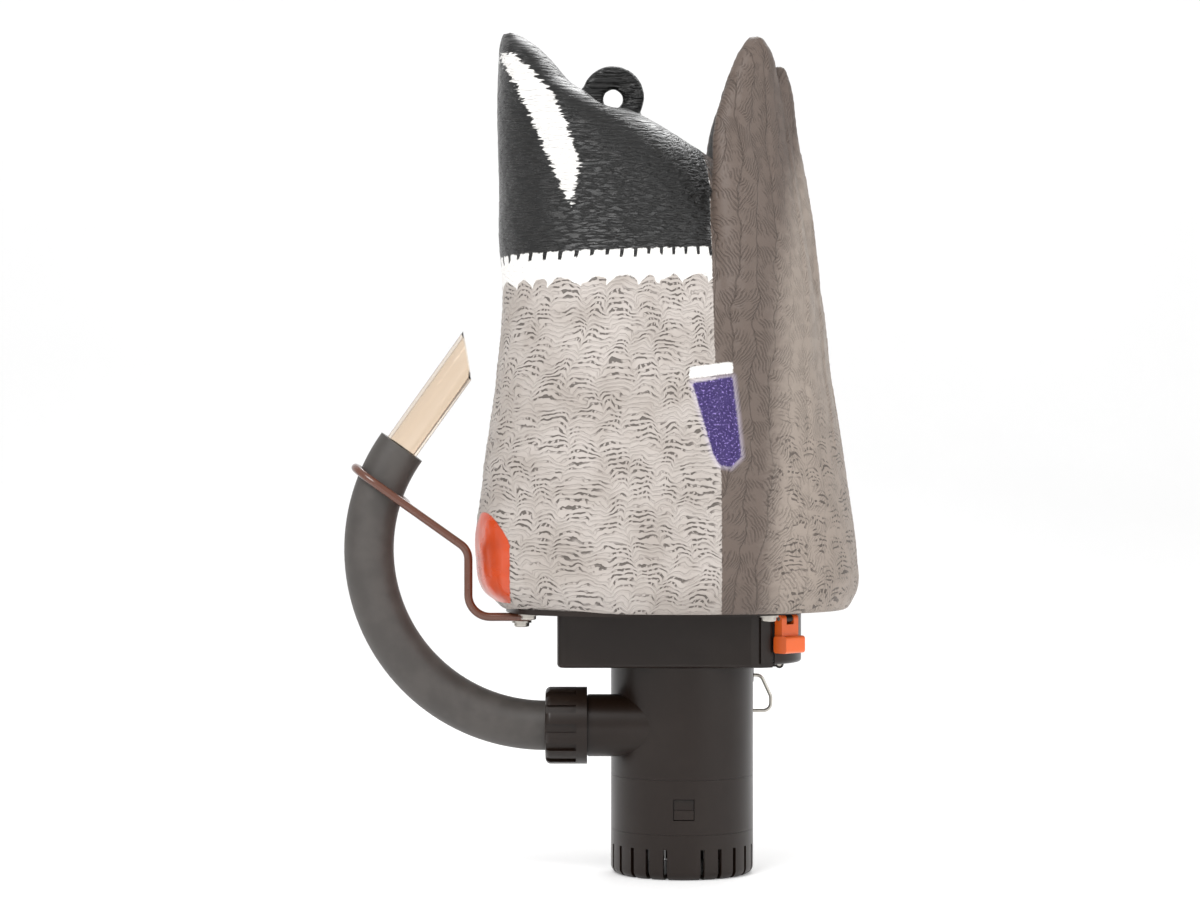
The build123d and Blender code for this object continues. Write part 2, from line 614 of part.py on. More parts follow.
with BuildPart() as box_lid:
    with BuildSketch(Plane.XY.offset(FLANGE_TOP_Z + SEAM)):
        with Locations(((BOX_LEFT_X + BOX_RIGHT_X) / 2, 0)):
            RectangleRounded(
                BOX_RIGHT_X - BOX_LEFT_X + 2 * BOX_FLANGE_WIDTH,
                2 * (BOX_HALF_WIDTH + BOX_FLANGE_WIDTH),
                2 * BOX_CORNER,
            )
    extrude(amount=LID_THICKNESS)
save(box_lid.part, "box_lid")

half_ring = ANCHOR_RING_HALF_WIDTH
ring_bottom_z = ANCHOR_TOP_Z - ANCHOR_RING_HEIGHT
with BuildPart() as anchor_ring:
    with BuildLine(Plane.XZ.offset(-ANCHOR_Y)) as ring_path:
        Polyline(
            (ANCHOR_X - half_ring / 2, ANCHOR_TOP_Z),
            (ANCHOR_X + half_ring / 2, ANCHOR_TOP_Z),
            (ANCHOR_X + half_ring, ring_bottom_z + ANCHOR_RING_HEIGHT / 2.5),
            (ANCHOR_X + half_ring, ring_bottom_z),
            (ANCHOR_X - half_ring, ring_bottom_z),
            (ANCHOR_X - half_ring, ring_bottom_z + ANCHOR_RING_HEIGHT / 2.5),
            close=True,
        )
        fillet(ring_path.vertices(), ANCHOR_CORNER_BEND)
    with BuildSketch(Plane(origin=ring_path.wires()[0] @ 0, z_dir=ring_path.wires()[0] % 0)):
        Circle(ANCHOR_WIRE_RADIUS)
    sweep(path=ring_path.wires()[0])
save(anchor_ring.part, "anchor_ring")

# ---------------------------------------------------------------- end door and its latches
def door_plan(radius):
    """Sketches the door's plan: the bowed end beyond the box's opening."""
    with Locations((BOX_END_CENTRE_X, 0)):
        Circle(radius)
    with Locations((DOOR_LEFT_X - CAVITY_LIMIT / 2, 0)):
        Rectangle(CAVITY_LIMIT, CAVITY_LIMIT, mode=Mode.SUBTRACT)


def latch_frame(side):
    """The latch's pivot: local X runs outwards from the box's end, and local Z upwards."""
    turn = side * radians(LATCH_ANGLE)
    return Plane(
        origin=(
            BOX_END_CENTRE_X + LATCH_PIVOT_REACH * cos(turn),
            LATCH_PIVOT_REACH * sin(turn),
            LATCH_PIVOT_Z,
        ),
        x_dir=(cos(turn), sin(turn), 0),
        z_dir=(0, 0, 1),
    )


def latch_side_plane(side, offset):
    """The plane of the latch's side view, offset along its pin: local X outwards, local Y up."""
    frame = latch_frame(side)
    return Plane(
        origin=frame.origin + frame.y_dir * offset, x_dir=frame.x_dir, z_dir=-frame.y_dir
    )


lug_clear = DOOR_KNUCKLE_RADIUS + GAP
with BuildPart() as battery_door:
    with BuildSketch(Plane.XY.offset(DOOR_BOTTOM_Z)):
        door_plan(BOX_END_RADIUS)
    extrude(amount=DOOR_TOP_Z - DOOR_BOTTOM_Z)
    fillet(battery_door.edges().group_by(Axis.Z)[0].sort_by(Axis.X)[-1], 1.6)
    with BuildSketch(Plane.XY.offset(DOOR_BOTTOM_Z + DOOR_SHELL)):
        door_plan(BOX_END_RADIUS - DOOR_SHELL)
    extrude(amount=DOOR_TOP_Z - DOOR_BOTTOM_Z - 2 * DOOR_SHELL, mode=Mode.SUBTRACT)
    # The hinge knuckle, and notches around the box's two lugs.
    with BuildSketch(Plane.XZ.offset(-DOOR_KNUCKLE_HALF)):
        with Locations((DOOR_HINGE_X, DOOR_HINGE_Z)):
            Circle(DOOR_KNUCKLE_RADIUS)
        with Locations((DOOR_HINGE_X, (DOOR_HINGE_Z + DOOR_BOTTOM_Z + DOOR_SHELL) / 2)):
            Rectangle(2 * DOOR_KNUCKLE_RADIUS, DOOR_BOTTOM_Z + DOOR_SHELL - DOOR_HINGE_Z)
    extrude(amount=2 * DOOR_KNUCKLE_HALF)
    with BuildSketch(Plane.XZ.offset(-DOOR_KNUCKLE_HALF)):
        with Locations((DOOR_HINGE_X, DOOR_HINGE_Z)):
            Circle(DOOR_PIN_RADIUS + RUNNING)
    extrude(amount=2 * DOOR_KNUCKLE_HALF, mode=Mode.SUBTRACT)
    for side in (-1, 1):
        lug_y = side * (DOOR_KNUCKLE_HALF + GAP + DOOR_LUG_WIDTH / 2)
        with BuildSketch(Plane.XZ.offset(-lug_y - DOOR_LUG_WIDTH / 2 - GAP)):
            with Locations((DOOR_HINGE_X, DOOR_HINGE_Z)):
                Circle(lug_clear)
            with Locations((DOOR_HINGE_X - lug_clear, DOOR_HINGE_Z)):
                Rectangle(2 * lug_clear, 2 * lug_clear)
        extrude(amount=DOOR_LUG_WIDTH + 2 * GAP, mode=Mode.SUBTRACT)
    # A lug for each latch's pin.
    for side in (-1, 1):
        with BuildSketch(latch_side_plane(side, LATCH_LUG_WIDTH / 2)):
            Circle(LATCH_HALF_THICKNESS - 0.2)
            with Locations((-LATCH_HALF_THICKNESS, 0)):
                Rectangle(2 * LATCH_HALF_THICKNESS, 2 * LATCH_HALF_THICKNESS - 0.4)
            Circle(LATCH_PIN_RADIUS + SEAM / 2, mode=Mode.SUBTRACT)
        extrude(amount=LATCH_LUG_WIDTH)
save(battery_door.part, "battery_door")

with BuildPart() as door_gasket:
    with BuildSketch(Plane.YZ.offset(BOX_RIGHT_X + SEAM / 2)):
        with Locations((0, (OPENING_BOTTOM_Z + OPENING_TOP_Z) / 2)):
            RectangleRounded(
                2 * (OPENING_HALF_WIDTH + DOOR_GASKET_WIDTH),
                OPENING_TOP_Z - OPENING_BOTTOM_Z + 2 * DOOR_GASKET_WIDTH,
                DOOR_GASKET_WIDTH,
            )
            Rectangle(
                2 * OPENING_HALF_WIDTH, OPENING_TOP_Z - OPENING_BOTTOM_Z, mode=Mode.SUBTRACT
            )
    extrude(amount=DOOR_GASKET)
save(door_gasket.part, "door_gasket")

pin_half = DOOR_KNUCKLE_HALF + GAP + DOOR_LUG_WIDTH
with BuildPart() as door_hinge_pin:
    with BuildSketch(Plane.XZ.offset(-pin_half)):
        with Locations((DOOR_HINGE_X, DOOR_HINGE_Z)):
            Circle(DOOR_PIN_RADIUS)
    extrude(amount=2 * pin_half)
save(door_hinge_pin.part, "door_hinge_pin")

for side, hand in ((-1, "right"), (1, "left")):
    drop = LATCH_PIVOT_Z - LATCH_BOTTOM_Z
    with BuildPart() as latch:
        with BuildSketch(latch_side_plane(side, LATCH_WIDTH / 2)):
            Circle(LATCH_HALF_THICKNESS)
            with Locations((0, -drop / 2)):
                Rectangle(2 * LATCH_HALF_THICKNESS, drop)
        extrude(amount=LATCH_WIDTH)
        with BuildSketch(latch_side_plane(side, LATCH_LIP_WIDTH / 2)):
            with Locations((LATCH_LIP_REACH / 2, LATCH_LIP_HEIGHT / 2 - drop)):
                RectangleRounded(
                    2 * LATCH_HALF_THICKNESS + LATCH_LIP_REACH, LATCH_LIP_HEIGHT, 1.6
                )
        extrude(amount=LATCH_LIP_WIDTH)
        with BuildSketch(latch_side_plane(side, LATCH_LUG_WIDTH / 2 + GAP)):
            Rectangle(4 * LATCH_HALF_THICKNESS, 2 * (LATCH_HALF_THICKNESS + GAP))
        extrude(amount=LATCH_LUG_WIDTH + 2 * GAP, mode=Mode.SUBTRACT)
        with BuildSketch(latch_side_plane(side, LATCH_WIDTH / 2)):
            Circle(LATCH_PIN_RADIUS + RUNNING)
        extrude(amount=LATCH_WIDTH, mode=Mode.SUBTRACT)
    save(latch.part, f"latch_{hand}")
    with BuildPart() as latch_pin:
        with BuildSketch(latch_side_plane(side, LATCH_WIDTH / 2 - SEAM)):
            Circle(LATCH_PIN_RADIUS)
        extrude(amount=LATCH_WIDTH - 2 * SEAM)
    save(latch_pin.part, f"latch_pin_{hand}")

# ---------------------------------------------------------------- battery, board and leads
sleeve_width = CELL_PITCH * CELL_COUNT + 2 * SLEEVE_WALL
sleeve_height = 2 * (CELL_RADIUS + SLEEVE_WALL) + SEAM
sleeve_length = CELL_LENGTH + 2 * (SLEEVE_WALL + SEAM)
battery_z = BATTERY_BOTTOM_Z + sleeve_height / 2
with BuildPart() as battery_sleeve:
    with BuildSketch(Plane.YZ.offset(BATTERY_END_X - sleeve_length)):
        with Locations((0, battery_z)):
            RectangleRounded(sleeve_width, sleeve_height, sleeve_height / 2 - SEAM)
    extrude(amount=sleeve_length)
    with BuildSketch(Plane.YZ.offset(BATTERY_END_X - sleeve_length + SLEEVE_WALL)):
        with Locations((0, battery_z)):
            RectangleRounded(
                sleeve_width - 2 * SLEEVE_WALL,
                sleeve_height - 2 * SLEEVE_WALL,
                CELL_RADIUS - SEAM,
            )
    extrude(amount=sleeve_length - 2 * SLEEVE_WALL, mode=Mode.SUBTRACT)
save(battery_sleeve.part, "battery_sleeve")

for number in range(1, CELL_COUNT + 1):
    with BuildPart() as cell:
        with BuildSketch(Plane.YZ.offset(BATTERY_END_X - SLEEVE_WALL - SEAM - CELL_LENGTH)):
            with Locations(((number - (CELL_COUNT + 1) / 2) * CELL_PITCH, battery_z)):
                Circle(CELL_RADIUS)
        extrude(amount=CELL_LENGTH)
        fillet(cell.edges(), 0.8)
    save(cell.part, f"battery_cell_{number}")

with BuildPart() as control_board:
    with BuildSketch(Plane.XY.offset(BOARD_Z)):
        with Locations((BOARD_LEFT_X + BOARD_LENGTH / 2, 0)):
            RectangleRounded(BOARD_LENGTH, BOARD_WIDTH, 1.5)
    extrude(amount=BOARD_THICKNESS)
    with BuildSketch(Plane.XY.offset(BOARD_Z + BOARD_THICKNESS)):
        with Locations((BOARD_LEFT_X + 22.5, 10.0)):
            Rectangle(8.0, 8.0)
        with Locations((BOARD_LEFT_X + 10.0, -2.0)):
            Rectangle(7.0, 9.0)
        with Locations((BOARD_LEFT_X + 9.0, 14.0), (BOARD_LEFT_X + 9.0, -15.0)):
            Circle(4.0)
    extrude(amount=4.0)
save(control_board.part, "control_board")

battery_left_x = BATTERY_END_X - sleeve_length
lead_x = BOARD_LEFT_X + 22.5
battery_lead_z = battery_z + BATTERY_LEAD_UP
with BuildPart() as battery_lead:
    with BuildLine(Plane.XZ.offset(-10.0)) as lead_path:
        reach = Line((battery_left_x - SEAM, battery_lead_z), (lead_x + LEAD_BEND, battery_lead_z))
        fall = JernArc(reach @ 1, reach % 1, LEAD_BEND, 90)
        Line(fall @ 1, (lead_x, BOARD_Z + BOARD_THICKNESS + 4.0 + SEAM))
    with BuildSketch(Plane.YZ.offset(battery_left_x - SEAM)):
        with Locations((10.0, battery_lead_z)):
            Circle(LEAD_RADIUS)
    sweep(path=lead_path.wires()[0])
save(battery_lead.part, "battery_lead")

lead_z = BOX_FLOOR_Z + LEAD_RADIUS + 0.25
board_foot_x = battery_left_x - 5.0
with BuildPart() as motor_lead:
    with BuildLine(Plane.XZ) as lead_path:
        rise = Line((GLAND_X, CAP_BOTTOM_Z - 1.0), (GLAND_X, lead_z - LEAD_BEND))
        turn_in = JernArc(rise @ 1, rise % 1, LEAD_BEND, 90)
        run = Line(turn_in @ 1, (board_foot_x + LEAD_BEND, lead_z))
        turn_up = JernArc(run @ 1, run % 1, LEAD_BEND, -90)
        Line(turn_up @ 1, (board_foot_x, BOARD_Z - SEAM))
    with BuildSketch(Plane.XY.offset(CAP_BOTTOM_Z - 1.0)):
        with Locations((GLAND_X, 0)):
            Circle(LEAD_RADIUS)
    sweep(path=lead_path.wires()[0])
save(motor_lead.part, "motor_lead")

with BuildPart() as cable_gland:
    with BuildSketch(Plane.XY.offset(CAP_BOTTOM_Z + SEAM)):
        with Locations((GLAND_X, 0)):
            Circle(GLAND_RADIUS)
            Circle(LEAD_RADIUS + SEAM, mode=Mode.SUBTRACT)
    extrude(amount=lead_z - LEAD_BEND - CAP_BOTTOM_Z - 2 * SEAM)
save(cable_gland.part, "cable_gland")

# ---------------------------------------------------------------- strainer, skirt and lock buttons
with BuildPart() as strainer:
    with BuildSketch():
        Circle(PUMP_RADIUS)
    extrude(amount=STRAINER_HEIGHT)
    fillet(strainer.edges().group_by(Axis.Z)[0], STRAINER_EDGE)
    with BuildSketch(Plane.XY.offset(STRAINER_FLOOR)):
        Circle(PUMP_BORE)
    extrude(amount=STRAINER_HEIGHT, mode=Mode.SUBTRACT)
    with BuildSketch(Plane.XY.offset(-1)):
        for angle in range(0, 360, SLOT_PITCH):
            if angle % 180 != 90:
                with Locations(Location((0, 0, 0), (0, 0, angle))):
                    with Locations((PUMP_RADIUS - SLOT_INWARD / 2 + 1, 0)):
                        Rectangle(SLOT_INWARD + 2, SLOT_WIDTH)
    extrude(amount=SLOT_HEIGHT + 1, mode=Mode.SUBTRACT)
    # Two spring leaves stand behind the lock buttons.
    with BuildSketch(Plane.XY.offset(STRAINER_FLOOR / 2)):
        leaf_y = BUTTON_BACK_Y - BUTTON_FLANGE_THICKNESS - BUTTON_TRAVEL - GAP - 0.7
        with Locations((0, leaf_y), (0, -leaf_y)):
            Rectangle(8.0, 1.4)
    extrude(amount=WINDOW_CENTRE_Z + 3.0)
save(strainer.part, "strainer")

with BuildPart() as pump_skirt:
    with BuildSketch(Plane.XY.offset(SKIRT_BOTTOM_Z)):
        Circle(PUMP_RADIUS)
        Circle(PUMP_BORE, mode=Mode.SUBTRACT)
    extrude(amount=SKIRT_HEIGHT)
    with BuildSketch(Plane.XY.offset(INLET_PLATE_Z)):
        Circle(PUMP_BORE + 1)
        Circle(INLET_RADIUS, mode=Mode.SUBTRACT)
    extrude(amount=INLET_PLATE)
    with BuildSketch(Plane.XZ.offset(-PUMP_RADIUS)):
        with Locations((0, WINDOW_CENTRE_Z)):
            Rectangle(WINDOW_SIZE, WINDOW_SIZE)
    extrude(amount=2 * PUMP_RADIUS, mode=Mode.SUBTRACT)
save(pump_skirt.part, "pump_skirt")

for side, hand in ((-1, "right"), (1, "left")):
    with BuildPart() as lock_button:
        with BuildSketch(Plane.XZ.offset(BUTTON_BACK_Y - BUTTON_FLANGE_THICKNESS)):
            with Locations((0, WINDOW_CENTRE_Z)):
                Rectangle(BUTTON_FLANGE, BUTTON_FLANGE)
        extrude(amount=BUTTON_FLANGE_THICKNESS)
        with BuildSketch(Plane.XZ.offset(BUTTON_BACK_Y - 0.2)):
            with Locations((0, WINDOW_CENTRE_Z)):
                Rectangle(WINDOW_SIZE - 2 * GAP, WINDOW_SIZE - 2 * GAP)
        extrude(amount=PUMP_RADIUS - BUTTON_RECESS - 0.8 - BUTTON_BACK_Y)
        with BuildSketch(Plane.XZ.offset(BUTTON_BACK_Y - 0.2)):
            grip_z = WINDOW_CENTRE_Z - WINDOW_SIZE / 2 + GAP + BUTTON_GRIP_HEIGHT / 2
            with Locations((0, grip_z)):
                Rectangle(WINDOW_SIZE - 2 * GAP, BUTTON_GRIP_HEIGHT)
        extrude(amount=PUMP_RADIUS - BUTTON_RECESS + 0.2 - BUTTON_BACK_Y)
    button = lock_button.part if side == -1 else lock_button.part.mirror(Plane.XZ)
    save(button, f"lock_button_{hand}")

# ---------------------------------------------------------------- pump housing and outlet
with BuildPart() as pump_housing:
    with BuildSketch(Plane.XY.offset(UPPER_BOTTOM_Z)):
        Circle(PUMP_RADIUS)
    extrude(amount=UPPER_HEIGHT)
    with BuildSketch(outlet_plane(0.0)):
        Circle(OUTLET_RADIUS)
    extrude(amount=-OUTLET_END_X)
    with BuildSketch(Plane.XY.offset(UPPER_BOTTOM_Z)):
        Circle(PUMP_BORE)
    extrude(amount=UPPER_HEIGHT - PUMP_WALL, mode=Mode.SUBTRACT)
    with BuildSketch(outlet_plane(OUTLET_END_X + 1)):
        Circle(SPIGOT_RADIUS)
        Circle(SPIGOT_RADIUS - SPIGOT_WALL, mode=Mode.SUBTRACT)
    extrude(amount=SPIGOT_LENGTH + 1)
    with BuildSketch(outlet_plane(OUTLET_END_X + PUMP_WALL)):
        Circle(BARB_RADIUS)
    extrude(amount=BARB_LENGTH + PUMP_WALL)
    with BuildSketch(outlet_plane(-10.0)):
        Circle(BARB_RADIUS - BARB_WALL)
    extrude(amount=CAVITY_LIMIT, mode=Mode.SUBTRACT)
    # The ring that drops into the skirt, with the seal's groove.
    with BuildSketch(Plane.XY.offset(UPPER_BOTTOM_Z)):
        Circle(PUMP_BORE + 1)
        Circle(PUMP_BORE - 3.6, mode=Mode.SUBTRACT)
    extrude(amount=2.5)
    with BuildSketch(Plane.XY.offset(UPPER_BOTTOM_Z - 4.5)):
        Circle(PUMP_BORE - SEAM)
        Circle(PUMP_BORE - 3.6, mode=Mode.SUBTRACT)
    extrude(amount=5.0)
    with BuildSketch(Plane.XY.offset(UPPER_BOTTOM_Z - 3.4)):
        Circle(PUMP_BORE + 1)
        Circle(PUMP_BORE - 2 * O_RING_RADIUS - SEAM, mode=Mode.SUBTRACT)
    extrude(amount=2 * O_RING_RADIUS + SEAM, mode=Mode.SUBTRACT)
    # Bosses for the three screws that hang the pump from the box.
    with BuildSketch(Plane.XY.offset(UPPER_TOP_Z - PUMP_WALL - PUMP_BOSS_HEIGHT)):
        with Locations(*PUMP_SCREW_PLACES):
            Circle(PUMP_BOSS_RADIUS)
    extrude(amount=PUMP_BOSS_HEIGHT + 0.5)
    with BuildSketch(Plane.XY.offset(UPPER_TOP_Z - PUMP_WALL - PUMP_BOSS_HEIGHT + 1)):
        with Locations(*PUMP_SCREW_PLACES):
            Circle(PUMP_SCREW_RADIUS + SEAM)
    extrude(amount=CAVITY_LIMIT / 2, mode=Mode.SUBTRACT)
    with BuildSketch(Plane.XY.offset(UPPER_TOP_Z - 2 * PUMP_WALL)):
        with Locations((GLAND_X, 0)):
            Circle(GLAND_RADIUS + SEAM)
    extrude(amount=4 * PUMP_WALL, mode=Mode.SUBTRACT)
save(pump_housing.part, "pump_housing")

for number, place in enumerate(PUMP_SCREW_PLACES, start=1):
    with BuildPart() as pump_screw:
        with BuildSketch(Plane.XY.offset(BOX_FLOOR_Z + SEAM / 2)):
            with Locations(place):
                Circle(2 * PUMP_SCREW_RADIUS)
        extrude(amount=1.6)
        with BuildSketch(Plane.XY.offset(BOX_FLOOR_Z + 0.5)):
            with Locations(place):
                Circle(PUMP_SCREW_RADIUS)
        extrude(amount=-(BOX_WALL + PUMP_WALL + PUMP_BOSS_HEIGHT - 1.0))
    save(pump_screw.part, f"pump_screw_{number}")

with BuildPart() as housing_o_ring:
    with BuildSketch(Plane.XZ):
        with Locations(O_RING_PLACE):
            Circle(O_RING_RADIUS)
    revolve(axis=Axis.Z)
save(housing_o_ring.part, "housing_o_ring")

# ---------------------------------------------------------------- motor
with BuildPart() as motor_can:
    with BuildSketch(Plane.XY.offset(CAN_BOTTOM_Z)):
        Circle(CAN_RADIUS)
    extrude(amount=CAP_BOTTOM_Z - SEAM - CAN_BOTTOM_Z)
    with BuildSketch(Plane.XY.offset(CAN_BOTTOM_Z + CAN_WALL)):
        Circle(CAN_RADIUS - CAN_WALL)
        Circle(HUB_RADIUS, mode=Mode.SUBTRACT)
    extrude(amount=CAP_BOTTOM_Z, mode=Mode.SUBTRACT)
    with BuildSketch(Plane.XY.offset(HUB_TOP_Z)):
        Circle(HUB_RADIUS + 1)
    extrude(amount=CAP_BOTTOM_Z, mode=Mode.SUBTRACT)
    with BuildSketch(Plane.XY.offset(CAN_BOTTOM_Z - 1)):
        Circle(SEAL_RADIUS + SEAM)
    extrude(amount=1 + SEAL_LENGTH + SEAM, mode=Mode.SUBTRACT)
    with BuildSketch(Plane.XY.offset(CAN_BOTTOM_Z)):
        Circle(BUSH_RADIUS + SEAM)
    extrude(amount=CAN_TOP_Z - CAN_BOTTOM_Z, mode=Mode.SUBTRACT)
save(motor_can.part, "motor_can")

with BuildPart() as can_end_cap:
    with BuildSketch(Plane.XY.offset(CAP_BOTTOM_Z)):
        Circle(CAN_RADIUS)
    extrude(amount=CAP_HEIGHT)
    with BuildSketch(Plane.XY.offset(CAP_BOTTOM_Z)):
        Circle(HUB_RADIUS)
    extrude(amount=-CAP_HEIGHT)
    with BuildSketch(Plane.XY.offset(CAP_BOTTOM_Z)):
        with GridLocations(0, 2 * (COMMUTATOR_RADIUS + BRUSH_LENGTH), 1, 2):
            Rectangle(BRUSH_SIDE, BRUSH_LENGTH)
    extrude(amount=-CAP_HEIGHT)
    with BuildSketch(Plane.XY.offset(CAP_BOTTOM_Z - CAP_HEIGHT)):
        Circle(BUSH_RADIUS + SEAM)
    extrude(amount=BUSH_LENGTH + SEAM, mode=Mode.SUBTRACT)
    with BuildSketch(Plane.XY.offset(CAP_BOTTOM_Z - 1)):
        with Locations((GLAND_X, 0)):
            Circle(GLAND_RADIUS + SEAM)
    extrude(amount=CAP_HEIGHT + 2, mode=Mode.SUBTRACT)
save(can_end_cap.part, "can_end_cap")

for name, bottom_z, length, radius in (
    ("shaft_seal", CAN_BOTTOM_Z, SEAL_LENGTH, SEAL_RADIUS),
    ("bush_lower", CAN_BOTTOM_Z + SEAL_LENGTH + SEAM, BUSH_LENGTH, BUSH_RADIUS),
    ("bush_upper", CAP_BOTTOM_Z - CAP_HEIGHT, BUSH_LENGTH, BUSH_RADIUS),
):
    with BuildPart() as ring:
        with BuildSketch(Plane.XY.offset(bottom_z)):
            Circle(radius)
            Circle(SHAFT_RADIUS + RUNNING, mode=Mode.SUBTRACT)
        extrude(amount=length)
    save(ring.part, name)

magnet_z = ARMATURE_TOP_Z - ARMATURE_LENGTH / 2 - MAGNET_LENGTH / 2
for middle, hand in ((180.0, "left"), (0.0, "right")):
    with BuildPart() as magnet:
        with BuildSketch(Plane.XY.offset(magnet_z)):
            with BuildLine():
                outer = CenterArc((0, 0), MAGNET_OUTER, middle - MAGNET_SWEEP / 2, MAGNET_SWEEP)
                inner = CenterArc(
                    (0, 0), MAGNET_OUTER - MAGNET_THICKNESS, middle - MAGNET_SWEEP / 2, MAGNET_SWEEP
                )
                Line(outer @ 0, inner @ 0)
                Line(outer @ 1, inner @ 1)
            make_face()
        extrude(amount=MAGNET_LENGTH)
    save(magnet.part, f"magnet_{hand}")

with BuildPart() as armature:
    with BuildSketch(Plane.XY.offset(ARMATURE_TOP_Z - ARMATURE_LENGTH)):
        Circle(ARMATURE_RADIUS)
        Circle(SHAFT_RADIUS + SEAM / 2, mode=Mode.SUBTRACT)
        with PolarLocations(ARMATURE_RADIUS - 3.0, ARMATURE_SLOTS):
            Rectangle(8.0, ARMATURE_SLOT_WIDTH, mode=Mode.SUBTRACT)
    extrude(amount=ARMATURE_LENGTH)
save(armature.part, "armature")

with BuildPart() as commutator:
    with BuildSketch(Plane.XY.offset(COMMUTATOR_BOTTOM_Z)):
        Circle(COMMUTATOR_RADIUS)
        Circle(SHAFT_RADIUS + SEAM / 2, mode=Mode.SUBTRACT)
    extrude(amount=COMMUTATOR_LENGTH)
save(commutator.part, "commutator")

for side, hand in ((-1, "right"), (1, "left")):
    with BuildPart() as brush:
        with BuildSketch(Plane.XY.offset(COMMUTATOR_BOTTOM_Z + 1)):
            with Locations((0, side * (COMMUTATOR_RADIUS + GAP + BRUSH_LENGTH / 2))):
                Rectangle(BRUSH_SIDE, BRUSH_LENGTH)
        extrude(amount=CAP_BOTTOM_Z - CAP_HEIGHT - SEAM - COMMUTATOR_BOTTOM_Z - 1)
    save(brush.part, f"brush_{hand}")

with BuildPart() as motor_shaft:
    with BuildSketch(Plane.XY.offset(SHAFT_BOTTOM_Z)):
        Circle(SHAFT_RADIUS)
    extrude(amount=SHAFT_TOP_Z - SHAFT_BOTTOM_Z)
save(motor_shaft.part, "motor_shaft")

with BuildPart() as impeller:
    with BuildSketch(Plane.XY.offset(IMPELLER_BOTTOM_Z)):
        Circle(IMPELLER_HUB_RADIUS)
        for angle in range(0, 360, 360 // IMPELLER_VANES):
            with Locations(Location((0, 0, 0), (0, 0, angle))):
                with Locations(Location((IMPELLER_RADIUS / 2, 4.0, 0), (0, 0, 22))):
                    Rectangle(IMPELLER_RADIUS - 6.0, IMPELLER_VANE_THICKNESS)
    extrude(amount=IMPELLER_VANE_HEIGHT)
    with BuildSketch(Plane.XY.offset(IMPELLER_TOP_Z - IMPELLER_DISC)):
        Circle(IMPELLER_RADIUS)
    extrude(amount=IMPELLER_DISC)
    with BuildSketch(Plane.XY.offset(IMPELLER_BOTTOM_Z + 1)):
        Circle(SHAFT_RADIUS + SEAM / 2)
    extrude(amount=CAN_BOTTOM_Z, mode=Mode.SUBTRACT)
save(impeller.part, "impeller")

# ---------------------------------------------------------------- hose nut, hose and nozzle
with BuildPart() as outlet_nut:
    with BuildSketch(outlet_plane(NUT_RIGHT_X)):
        Circle(NUT_RADIUS)
    extrude(amount=NUT_LENGTH)
    fillet(outlet_nut.edges().sort_by(Axis.X)[0], NUT_END_ROUND)
    with BuildSketch(outlet_plane(NUT_RIGHT_X - NUT_COLLAR)):
        with PolarLocations(NUT_RADIUS - NUT_GROOVE_DEPTH + 2.0, NUT_RIBS):
            Rectangle(4.0, NUT_GROOVE_WIDTH)
    extrude(amount=NUT_LENGTH, mode=Mode.SUBTRACT)
    with BuildSketch(outlet_plane(NUT_RIGHT_X + 1)):
        Circle(SPIGOT_RADIUS + SEAM)
    extrude(amount=1 + NUT_LENGTH - NUT_END_WALL, mode=Mode.SUBTRACT)
    with BuildSketch(outlet_plane(NUT_RIGHT_X)):
        Circle(HOSE_RADIUS + GAP)
    extrude(amount=NUT_LENGTH + 1, mode=Mode.SUBTRACT)
save(outlet_nut.part, "outlet_nut")

with BuildPart() as hose_gland:
    with BuildSketch(outlet_plane(SPIGOT_LEFT_X - SEAM)):
        Circle(SPIGOT_RADIUS)
        Circle(HOSE_RADIUS + SEAM, mode=Mode.SUBTRACT)
    extrude(amount=GLAND_LENGTH)
save(hose_gland.part, "hose_gland")

with BuildPart() as hose:
    with BuildLine(Plane.XZ.offset(-OUTLET_Y)) as hose_path:
        Line((HOSE_RIGHT_X, OUTLET_Z), (HOSE_BEND_START_X, OUTLET_Z))
        CenterArc((HOSE_BEND_START_X, BEND_CENTRE_Z), HOSE_BEND_RADIUS, 270, -HOSE_BEND_ANGLE)
    with BuildSketch(outlet_plane(HOSE_RIGHT_X)):
        Circle(HOSE_RADIUS)
        Circle(HOSE_BORE_RADIUS, mode=Mode.SUBTRACT)
    sweep(path=hose_path.wires()[0])
save(hose.part, "hose")

